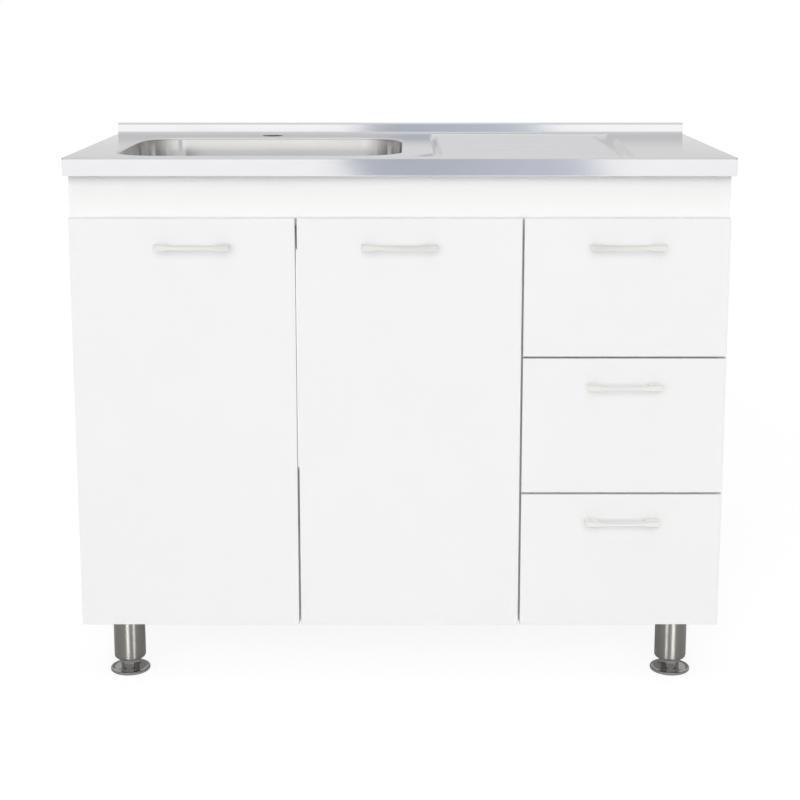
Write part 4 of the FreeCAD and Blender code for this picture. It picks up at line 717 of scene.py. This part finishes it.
class SINKUNIT_OT_bowl(bpy.types.Operator):
    """Draws the bowl: sloped walls, a round foot and a floor that falls to the waste"""

    bl_idname = "sinkunit.bowl"
    bl_label = "Bowl"

    def execute(self, context):
        sizes = context.scene.sink_top
        points = self.surface(sizes)
        rows, columns = points.shape[:2]
        normals = grid_normals(points, closed=True)
        triangles = grid_triangles(rows, columns, closed=True)
        shell = sheet_shell(points.reshape(-1, 3), normals.reshape(-1, 3), triangles,
                            sizes.sheet * MM)
        finish = stainless_sheet("brushed_stainless_bowl", context.scene.colours.bowl,
                                 grain=(5, 5, 160), rough=0.12, brush=0.01)
        put_piece("sink_bowl_drawn", *shell[:2], finish, "sink_bowl", shell[2])
        return {"FINISHED"}

    def surface(self, sizes):
        """Rings of a rounded rectangle, inset by i at height z: i = depth * tan(slope)
        down the wall, then a turn of the foot's radius, then the floor, where each point
        moves in a straight line to a circle round the waste while the floor falls."""
        deck = DECK_HIGH[2] - sizes.upstand * MM
        roll = sizes.rim_roll * MM
        foot = sizes.bowl_foot * MM
        half_long, half_wide = sizes.bowl_long * MM / 2, sizes.bowl_wide * MM / 2
        corner = sizes.bowl_corner * MM
        tilt, rolled = math.radians(BOWL_DRAFT), math.radians(90 - BOWL_DRAFT)
        start = deck - roll + roll * math.cos(rolled)
        edge = roll - roll * math.sin(rolled)
        floor = BOWL_LOW[2] + sizes.sheet * MM
        high_floor = floor + FLOOR_FALL
        foot_z = high_floor + foot
        touch = foot_z - foot * math.sin(tilt)
        foot_in = (start - touch) * math.tan(tilt) - edge + foot * math.cos(tilt)
        wall_z = np.linspace(start, touch, 16)
        wall_in = (start - wall_z) * math.tan(tilt) - edge
        turn = np.radians(np.linspace(BOWL_DRAFT, 90, 16))[1:]
        inset = np.concatenate([wall_in, foot_in - foot * np.cos(turn)])
        height = np.concatenate([wall_z, foot_z - foot * np.sin(turn)])
        rings = [rounded_ring(half_long - i, half_wide - i, corner - i)[0] for i in inset]
        last = rings[-1]
        circle = last / np.linalg.norm(last, axis=1, keepdims=True)
        low_ring, seat, hole = WASTE_RADII
        share = np.linspace(0, 1, 11)[1:]
        floor_rings = [last + (circle * low_ring - last) * w for w in share]
        floor_z = high_floor - FLOOR_FALL * smoothstep(share)
        inner = [circle * seat, circle * hole]
        plan = np.stack(rings + floor_rings + inner)
        z = np.concatenate([height, floor_z, [floor, floor]])
        points = np.empty((*plan.shape[:2], 3))
        points[..., :2] = plan + bowl_centre()
        points[..., 2] = z[:, None]
        return points


# ---------------------------------------------------------------- handles


def handle_paths(sizes, half, reach):
    """Two lines from the door round to the other foot, seen from above, with one point of
    each for every station: the outer one is the foot's side, a corner and the bow
    y = -(reach - bow (x/half)^2), the inner one is the foot's inner side, a corner and
    y = -(reach - bar - bow (x/inner)^2)."""
    bow, bar, post = sizes.bow * MM, sizes.bar * MM, sizes.post * MM
    inner, round_out, round_in = half - post, 2.5, 3.0

    def front(x):
        return -(reach - bow * (x / half) ** 2)

    def under(x):
        return -(reach - bar - bow * (x / inner) ** 2)

    sin_o, cos_o = arc(6, 0, 90)
    sin_i, cos_i = arc(16, 0, 90)
    high_o = front(half - round_out) + round_out
    high_i = under(inner - round_in) + round_in
    span = inner - round_in
    over_foot = np.linspace(half - round_out, span, 11)[1:]
    over_gap = np.concatenate([np.linspace(span, span - 6, 9)[1:],
                               np.linspace(span - 6, 0, 15)[1:]])
    step = np.linspace(0, 1, 13)
    outer = np.concatenate([
        np.stack([half + 0 * step, high_o * step], 1),
        np.stack([half - round_out + round_out * cos_o, high_o - round_out * sin_o], 1)[1:],
        np.stack([over_foot, front(over_foot)], 1), np.stack([over_gap, front(over_gap)], 1)])
    inside_line = np.concatenate([
        np.stack([inner + 0 * step, high_i * step], 1),
        np.stack([span + round_in * cos_i, high_i - round_in * sin_i], 1)[1:],
        np.stack([over_gap, under(over_gap)], 1)])
    mirror = np.array([-1.0, 1.0])
    return (np.concatenate([outer, outer[-2::-1] * mirror]),
            np.concatenate([inside_line, inside_line[-2::-1] * mirror]))


class SINKUNIT_OT_handles(bpy.types.Operator):
    """Casts the five bow handles"""

    bl_idname = "sinkunit.handles"
    bl_label = "Bow Handles"

    def execute(self, context):
        sizes = context.scene.handle
        finish = satin_nickel("brushed_nickel_plated_zinc", context.scene.colours.handle)
        for name in ("left", "centre", "top", "middle", "bottom"):
            node = "handle_" + name
            low, high = box_mm(node)
            points = self.surface(sizes, low, high)
            rows, columns = points.shape[:2]
            faces = grid_triangles(rows, columns, closed=True).tolist()
            faces.append(list(range(columns))[::-1])
            faces.append(list(range((rows - 1) * columns, rows * columns)))
            normals = grid_normals(points, closed=True)
            put_piece("bow_handle_" + name, points.reshape(-1, 3), faces, finish, node,
                      point_normals=normals.reshape(-1, 3))
        return {"FINISHED"}

    def surface(self, sizes, low, high):
        """A rounded rectangle carried along the two paths: across from the outer to the
        inner line, and up and down by h, which goes by a smoothstep from half the bar's
        height, 3 mm before the foot, to half the foot's height, 1 mm past its side. A
        foot loses a third of its height on its way back to the door."""
        half, reach = (high[0] - low[0]) / 2, high[1] - low[1]
        outer, inner = handle_paths(sizes, half, reach)
        width = np.linalg.norm(inner - outer, axis=1)[:, None]
        r = sizes.edge * MM
        sin_a, cos_a = arc(5, 0, 90)
        spread = np.array([0.04, 0.5, 0.96])
        from_outer = np.concatenate([r - r * cos_a, r * (1 - 2 * spread), -r + r * sin_a])
        share = np.concatenate([np.zeros(len(cos_a)), spread, np.ones(len(sin_a))])
        drop = np.concatenate([-r + r * sin_a, 0 * spread, -r + r * cos_a])
        sign = np.repeat([1.0, -1.0], len(drop))
        across = np.concatenate([from_outer, from_outer[::-1]])
        share = np.concatenate([share, share[::-1]])
        drop = np.concatenate([drop, -drop[::-1]])
        along = (across[None] + share[None] * width) / width
        plan = outer[:, None] + (inner - outer)[:, None] * along[..., None]
        taller = smoothstep((np.abs(plan[..., 0]) - half + sizes.post * MM + 3) / 4)
        behind = (plan[..., 1] + reach - sizes.bar * MM) / (reach - sizes.bar * MM)
        tall = sizes.tall * MM / 2 + (sizes.foot_tall - sizes.tall) * MM / 2 * taller
        tall = tall * (1 - smoothstep(behind) / 3)
        points = np.empty((*plan.shape[:2], 3))
        points[..., 0] = plan[..., 0] + (low[0] + high[0]) / 2
        points[..., 1] = plan[..., 1] + high[1]
        points[..., 2] = sign * tall + drop + (low[2] + high[2]) / 2
        return points


# ---------------------------------------------------------------- legs and feet


def turned_surface(profile, centre, segments=72):
    """A closed profile of (radius, height) turned about a vertical axis: the point is
    centre + (r cos a, r sin a, z). Also gives the angle and the height as a UV map."""
    angle = np.linspace(0, 2 * np.pi, segments + 1)
    r, z = profile[:, 0], profile[:, 1]
    points = np.empty((len(r), segments + 1, 3))
    points[..., 0] = centre[0] + r[:, None] * np.cos(angle)
    points[..., 1] = centre[1] + r[:, None] * np.sin(angle)
    points[..., 2] = z[:, None]
    uv = np.empty((len(r), segments + 1, 2))
    uv[..., 0] = angle / (2 * np.pi)
    uv[..., 1] = z[:, None] / 100        # one turn of the map for 100 mm of height
    return points, uv


class SINKUNIT_OT_legs(bpy.types.Operator):
    """Turns the four leg tubes and their levelling feet"""

    bl_idname = "sinkunit.legs"
    bl_label = "Legs and Feet"

    def execute(self, context):
        sizes = context.scene.leg
        tube = brushed_tube("brushed_steel_tube", context.scene.colours.leg)
        chrome = plated("chrome_plated_steel", linear("B9B8B5"), 0.1, 4.0)
        for place in ("front_left", "front_right", "rear_left", "rear_right"):
            self.tube(sizes, "leg_" + place, tube)
            self.foot(sizes, "foot_" + place, chrome)
        return {"FINISHED"}

    def tube(self, sizes, node, finish):
        """Outer wall, rounded lower edge (a quarter circle), floor round the stem, and
        the same again inside, one wall thickness in."""
        low, high = box_mm(node)
        radius = (high[0] - low[0]) / 2
        wall, turn = sizes.wall * MM, sizes.rounding * MM
        sin_a, cos_a = arc(8, 0, 90)
        bore = 5.6
        outer = np.concatenate([
            [[radius - wall, high[2]], [radius - 0.3, high[2]], [radius, high[2] - 0.3]],
            np.stack([np.full(6, radius), np.linspace(high[2] - 3, low[2] + turn, 6)], 1),
            np.stack([radius - turn + turn * cos_a, low[2] + turn - turn * sin_a], 1)[1:],
            [[bore + 0.5, low[2]], [bore, low[2] + 0.5], [bore, low[2] + wall]],
            [[radius - wall - turn, low[2] + wall], [radius - wall, low[2] + wall + turn]],
            [[radius - wall, high[2]]]])
        centre = (low + high) / 2
        points, uv = turned_surface(outer, centre)
        faces = grid_triangles(*points.shape[:2])
        piece = put_piece("tube_" + node, points.reshape(-1, 3), faces, finish, node,
                          uv=uv.reshape(-1, 2))
        close_seams(piece)

    def foot(self, sizes, node, finish):
        """A disc with a bead round its edge, a hexagon collar whose corners are turned
        off, and a threaded stem: radius = middle + depth cos(2 pi (z / pitch - a / 2 pi)).
        The disc's rows are (radius, height), and the collar's are a height and the
        largest radius there."""
        low, high = box_mm(node)
        radius = (high[0] - low[0]) / 2
        centre = (low + high) / 2
        segments = 120
        angle = np.linspace(0, 2 * np.pi, segments + 1)
        disc = np.array([[0.01, 0], [radius - 3, 0], [radius - 0.8, 0.3], [radius, 1.2],
                         [radius, 3.6], [radius - 0.35, 4.4], [radius - 1.2, 4.9],
                         [radius - 2.2, 5.0], [radius - 3.2, 4.8], [radius - 4.2, 4.3],
                         [radius - 7, 4.2], [radius - 12, 4.5], [radius - 15.5, 4.9]])
        r = np.repeat(disc[:, :1], segments + 1, 1)
        z = np.repeat(disc[:, 1:], segments + 1, 1)
        flat = sizes.flats * MM / 2
        corner = flat / np.cos((angle + np.pi / 6 - np.pi / 2) % (np.pi / 3) - np.pi / 6)
        top = 20.7
        rise = np.array([4.9, 5.1, 5.9, 6.8, 8, 12, 16, 18.6, 19.4, 20.2, top])
        cone = np.array([13.4, 13.6, 14.2, 14.7, 15.2, 15.2, 15.2, 15.2, 14.6, 13.8, 13.2])
        collar = np.minimum(corner[None], cone[:, None])
        stem_low = np.linspace(top, top + 24, 97)
        middle, depth = 4.75, 0.25
        turns = stem_low[:, None] / (sizes.thread * MM) - angle[None] / (2 * np.pi)
        thread = middle + depth * np.cos(2 * np.pi * turns)
        stem_high = np.array([top + 25, high[2] - 0.8, high[2], high[2]])
        stem_r = np.array([4.95, 4.95, 4.2, 0.01])
        ones = np.ones(segments + 1)
        r = np.concatenate([r, collar, thread, stem_r[:, None] * ones])
        z = np.concatenate([z, rise[:, None] * ones, stem_low[:, None] * ones,
                            stem_high[:, None] * ones])
        points = np.empty((*r.shape, 3))
        points[..., 0] = centre[0] + r * np.cos(angle)
        points[..., 1] = centre[1] + r * np.sin(angle)
        points[..., 2] = z
        faces = grid_triangles(*r.shape)[:, ::-1]
        piece = put_piece("turned_" + node, points.reshape(-1, 3), faces, finish, node)
        close_seams(piece)


def close_seams(piece, angle=35):
    """Joins the first and last column and the poles, turns all faces outward, and keeps
    edges sharper than the angle crisp."""
    work = bmesh.new()
    work.from_mesh(piece.data)
    bmesh.ops.remove_doubles(work, verts=work.verts, dist=0.00002)
    bmesh.ops.recalc_face_normals(work, faces=work.faces)
    work.to_mesh(piece.data)
    work.free()
    piece.data.set_sharp_from_angle(angle=math.radians(angle))
    piece.data.update()


# ---------------------------------------------------------------- boards and fittings


class SINKUNIT_OT_fronts(bpy.types.Operator):
    """Finishes the doors and drawer fronts"""

    bl_idname = "sinkunit.fronts"
    bl_label = "Doors and Drawer Fronts"

    def execute(self, context):
        finish = melamine("white_melamine_front", context.scene.colours.front)
        for node in sorted(frame["nodes"]):
            if SLOT_OF[node] == "white_front":
                finish_node(node, finish)
        return {"FINISHED"}


class SINKUNIT_OT_carcass(bpy.types.Operator):
    """Finishes the carcass boards, the hardboard back and the screw caps"""

    bl_idname = "sinkunit.carcass"
    bl_label = "Carcass"

    def execute(self, context):
        colour = context.scene.colours.board
        upright = chipboard_carcass("white_melamine_upright", colour)
        plain = melamine("white_melamine_board", colour)
        back = hardboard("pressed_hardboard")
        cap = moulded("moulded_abs_cap", linear("F2F2F0"), 0.45, 1.54)
        for node in sorted(frame["nodes"]):
            slot = SLOT_OF[node]
            if slot == "white_board":
                bare = node in ("side_panel_left", "side_panel_right", "divider_panel",
                                "bottom_panel")
                finish_node(node, upright if bare else plain)
            elif slot == "hardboard":
                finish_node(node, back)
            elif slot == "white_cap":
                finish_node(node, cap)
        return {"FINISHED"}


class SINKUNIT_OT_fittings(bpy.types.Operator):
    """Finishes the waste fitting, hinges, runners, drawer sides, cleats and screws"""

    bl_idname = "sinkunit.fittings"
    bl_label = "Metal and Plastic Fittings"

    def execute(self, context):
        finishes = {
            "strainer_steel": plated("pressed_stainless_strainer", linear("CFCDC9"), 0.18),
            "stainless": plated("stamped_stainless_fitting", linear("CBC9C5"), 0.22),
            "black_rubber": moulded("moulded_epdm_rubber", linear("1D1D1E"), 0.8, 1.5),
            "waste_plastic": moulded("moulded_polypropylene", linear("E9E9E6"), 0.42, 1.49),
            "zinc_plated": plated("zinc_plated_steel", linear("B6B8BA"), 0.32, 1.0),
            "coated_steel": moulded("epoxy_coated_steel", linear("F0F0EE"), 0.35, 1.5, 0.8),
            "hinge_steel": plated("nickel_plated_hinge_steel", linear("BDBBB6"), 0.2),
            "leg_steel": plated("plated_leg_steel", linear("B9B8B5"), 0.25),
        }
        for node in sorted(frame["nodes"]):
            finish = finishes.get(SLOT_OF[node])
            if finish is not None:
                finish_node(node, finish)
        return {"FINISHED"}


# ---------------------------------------------------------------- studio


class SINKUNIT_OT_studio(bpy.types.Operator):
    """Sets up the pale floor, the soft lights and the camera"""

    bl_idname = "sinkunit.studio"
    bl_label = "Studio"

    def execute(self, context):
        studio = context.scene.studio
        context.scene.view_settings.view_transform = "Standard"
        self.floor()
        self.lights(studio)
        self.card()
        self.world(context, studio)
        self.camera(context, studio)
        return {"FINISHED"}

    def floor(self):
        """Painted studio floor: pale, matt and even, 30 m across. The camera and the
        metal see it lifted to the white of the room by a glow over a thin paint, which
        leaves the unit's shadow in. Metal less than half a metre from it sees the paint
        and its shadow as they are."""
        points = np.array([[-1, -1, 0], [1, -1, 0], [1, 1, 0], [-1, 1, 0]]) * 15.0
        mesh = bpy.data.meshes.new("studio_floor")
        mesh.from_pydata(points.tolist(), [], [[0, 1, 2, 3]])
        material, tree, place = new_material("matt_floor_paint")
        wide = add(tree, "ShaderNodeMapping",
                   {"Vector": place, "Scale": grains(400, 400, 400)})
        cloud = add(tree, "ShaderNodeTexNoise", {"Vector": wide, "Scale": 1.0, "Detail": 1.0})
        tone = add(tree, "ShaderNodeMix",
                   shades(cloud, linear("F2F2F2"), linear("F4F4F4")), data_type="RGBA")
        paint = add(tree, "ShaderNodeBsdfDiffuse", {"Color": tone.outputs[2]})
        thin = add(tree, "ShaderNodeBsdfDiffuse", {"Color": (0.28, 0.28, 0.28, 1)})
        glow = add(tree, "ShaderNodeEmission", {"Strength": 0.84})
        lifted = add(tree, "ShaderNodeAddShader", {0: thin, 1: glow})
        length_m = add(tree, "ShaderNodeLightPath").outputs["Ray Length"]
        far = add(tree, "ShaderNodeMath", {0: length_m, 1: 0.5}, operation="GREATER_THAN")
        way = add(tree, "ShaderNodeMath", {0: self.seen(tree), 1: far}, operation="MULTIPLY")
        shown = add(tree, "ShaderNodeMixShader", {0: way, 1: paint, 2: lifted})
        add(tree, "ShaderNodeOutputMaterial", {"Surface": shown})
        mesh.materials.append(material)
        floor = bpy.data.objects.new("studio_floor", mesh)
        bpy.context.scene.collection.objects.link(floor)

    def seen(self, tree):
        """1 for what the camera sees, also by way of metal or glass, and 0 for light."""
        path = add(tree, "ShaderNodeLightPath")
        seen = add(tree, "ShaderNodeMath", {0: path.outputs["Is Camera Ray"],
                                            1: path.outputs["Is Glossy Ray"]},
                   operation="MAXIMUM")
        return add(tree, "ShaderNodeMath",
                   {0: seen, 1: path.outputs["Is Transmission Ray"]}, operation="MAXIMUM")

    def lights(self, studio):
        """One broad soft light high in front and one low in front for the whole unit, and
        two upright strip lights near the floor that show as stripes in the legs."""
        scene = bpy.context.scene
        turned = math.radians(-6)
        for name, power, spread, down in (("high_front_light", studio.key, 40, 28),
                                          ("low_front_light", studio.front, 60, 80)):
            light = bpy.data.lights.new(name, "SUN")
            light.energy = power
            light.angle = math.radians(spread)
            lamp = bpy.data.objects.new(name, light)
            lamp.rotation_euler = (math.radians(down), 0, turned)
            lamp.visible_glossy = False
            scene.collection.objects.link(lamp)
        legs = bpy.data.collections.new("lit_by_strips")
        for piece in scene.objects:
            if piece.name.startswith("tube_leg_"):
                legs.objects.link(piece)
        for name, middle, wide, power in (("left_strip", -0.56, 0.40, 1.1),
                                          ("right_strip", 0.724, 0.516, 1.0)):
            light = bpy.data.lights.new(name, "AREA")
            light.shape = "RECTANGLE"
            light.size, light.size_y = wide, 0.4
            light.energy = studio.strips * wide * power
            lamp = bpy.data.objects.new(name, light)
            lamp.location = (middle, -1.55, 0.22)
            lamp.rotation_euler = (math.radians(90), 0, 0)
            lamp.visible_camera = lamp.visible_diffuse = False
            lamp.light_linking.receiver_collection = legs
            scene.collection.objects.link(lamp)

    def card(self):
        """A flat card behind the camera that glows blue-grey, though it is no lamp, and shows
        only
        in metal: a painted reflection in the sink top's front edge. Its glow runs from one
        colour to the other along the unit."""
        y = -2750
        outline = [(-20, y, 350), (680, y, 350), (604, y, 552), (577, y, 610), (520, y, 850),
                   (420, y, 1050), (400, y, 1500), (-30, y, 1500), (-56, y, 1050),
                   (-160, y, 850), (-185, y, 610), (-139, y, 552)]
        mesh = bpy.data.meshes.new("blue_grey_card")
        mesh.from_pydata((np.array(outline) / MM).tolist(), [], [list(range(len(outline)))])
        material, tree, place = new_material("blue_grey_reflection_glow")
        across = add(tree, "ShaderNodeSeparateXYZ", {"Vector": place}).outputs["X"]
        share = add(tree, "ShaderNodeMapRange",
                    {"Value": across, "From Min": -0.185, "From Max": 0.68})
        tone = add(tree, "ShaderNodeMix",
                   shades(share, (0.42, 0.45, 0.51), (0.62, 0.64, 0.72)), data_type="RGBA")
        # painted reflection: the card glows in this blue-grey tone and is seen only in metal
        glow = add(tree, "ShaderNodeEmission", {"Color": tone.outputs[2]})
        add(tree, "ShaderNodeOutputMaterial", {"Surface": glow})
        mesh.materials.append(material)
        card = bpy.data.objects.new("blue_grey_card", mesh)
        for ray in ("camera", "diffuse", "transmission", "shadow"):
            setattr(card, "visible_" + ray, False)
        bpy.context.scene.collection.objects.link(card)

    def world(self, context, studio):
        """White behind the object and weaker as a light on it. In reflections the room is
        a soft grey-white, brightest in a band on the horizon and dimmer at both sides:
        strength = (0.64 + 0.45 band + 0.16 z^2) (1 - 0.75 x^2), where x, y, z is the
        direction looked in, and band is 1 up to |z| = 0.056 and falls to 0 at 0.076."""
        world = bpy.data.worlds.new("soft_white_room")
        world.use_nodes = True
        tree = world.node_tree
        tree.nodes.clear()
        looked = add(tree, "ShaderNodeTexCoord").outputs["Generated"]
        x, _, z = add(tree, "ShaderNodeSeparateXYZ", {"Vector": looked}).outputs
        off = add(tree, "ShaderNodeMath", {0: z}, operation="ABSOLUTE")
        band = add(tree, "ShaderNodeMapRange",
                   {"Value": off, "From Min": 0.076, "From Max": 0.056})
        low = add(tree, "ShaderNodeMath", {0: band, 1: 0.45, 2: 0.64},
                  operation="MULTIPLY_ADD")
        z_squared = add(tree, "ShaderNodeMath", {0: z, 1: z}, operation="MULTIPLY")
        bright = add(tree, "ShaderNodeMath", {0: z_squared, 1: 0.16, 2: low},
                     operation="MULTIPLY_ADD")
        x_squared = add(tree, "ShaderNodeMath", {0: x, 1: x}, operation="MULTIPLY")
        sides = add(tree, "ShaderNodeMath", {0: x_squared, 1: -0.75, 2: 1.0},
                    operation="MULTIPLY_ADD")
        room = add(tree, "ShaderNodeMath", {0: bright, 1: sides}, operation="MULTIPLY")
        plain = add(tree, "ShaderNodeMapRange",
                    {"Value": self.seen(tree), "To Min": studio.fill, "To Max": 1.0})
        glossy = add(tree, "ShaderNodeLightPath").outputs["Is Glossy Ray"]
        strength = add(tree, "ShaderNodeMix", {"Factor": glossy, "A": plain, "B": room})
        sky = add(tree, "ShaderNodeBackground",
                  {"Color": (1, 1, 1, 1), "Strength": strength})
        add(tree, "ShaderNodeOutputWorld", {"Surface": sky})
        context.scene.world = world

    def camera(self, context, studio):
        lens = bpy.data.cameras.new("photo_camera")
        lens.lens = studio.lens
        lens.sensor_width = 36
        lens.shift_x, lens.shift_y = studio.shift_x, studio.shift_y
        lens.clip_end = 100
        camera = bpy.data.objects.new("photo_camera", lens)
        camera.location = (studio.camera_x, studio.camera_y, studio.camera_z)
        camera.rotation_euler = (math.pi / 2 - studio.pitch, 0, 0)
        context.scene.collection.objects.link(camera)
        context.scene.camera = camera


# ---------------------------------------------------------------- the add-on


class SINKUNIT_PT_sidebar(bpy.types.Panel):
    """The unit's sizes, colours and steps in the 3D view's sidebar"""

    bl_idname = "SINKUNIT_PT_sidebar"
    bl_label = "Kitchen Sink Unit"
    bl_space_type = "VIEW_3D"
    bl_region_type = "UI"
    bl_category = "Sink Unit"

    def draw(self, context):
        for title, name in (("Sink top", "sink_top"), ("Handles", "handle"),
                            ("Legs", "leg"), ("Colours", "colours"), ("Studio", "studio")):
            group = getattr(context.scene, name)
            box = self.layout.box()
            box.label(text=title)
            for key in group.__annotations__:
                box.prop(group, key)
        for step in STEPS:
            self.layout.operator(step.bl_idname)


GROUPS = {"sink_top": SinkTopSizes, "handle": HandleSizes, "leg": LegSizes,
          "colours": Colours, "studio": StudioSettings}
STEPS = (SINKUNIT_OT_fittings, SINKUNIT_OT_carcass, SINKUNIT_OT_fronts,
         SINKUNIT_OT_sink_top, SINKUNIT_OT_bowl, SINKUNIT_OT_handles,
         SINKUNIT_OT_legs, SINKUNIT_OT_studio)


def register():
    for item in (*GROUPS.values(), *STEPS, SINKUNIT_PT_sidebar):
        bpy.utils.register_class(item)
    for name, group in GROUPS.items():
        setattr(bpy.types.Scene, name, bpy.props.PointerProperty(type=group))


def unregister():
    for name in GROUPS:
        delattr(bpy.types.Scene, name)
    for item in (SINKUNIT_PT_sidebar, *STEPS[::-1], *GROUPS.values()):
        bpy.utils.unregister_class(item)


def main():
    register()
    for step in STEPS:
        area, name = step.bl_idname.split(".")
        getattr(getattr(bpy.ops, area), name)()
    bpy.context.view_layer.update()


if __name__ == "__main__":
    main()
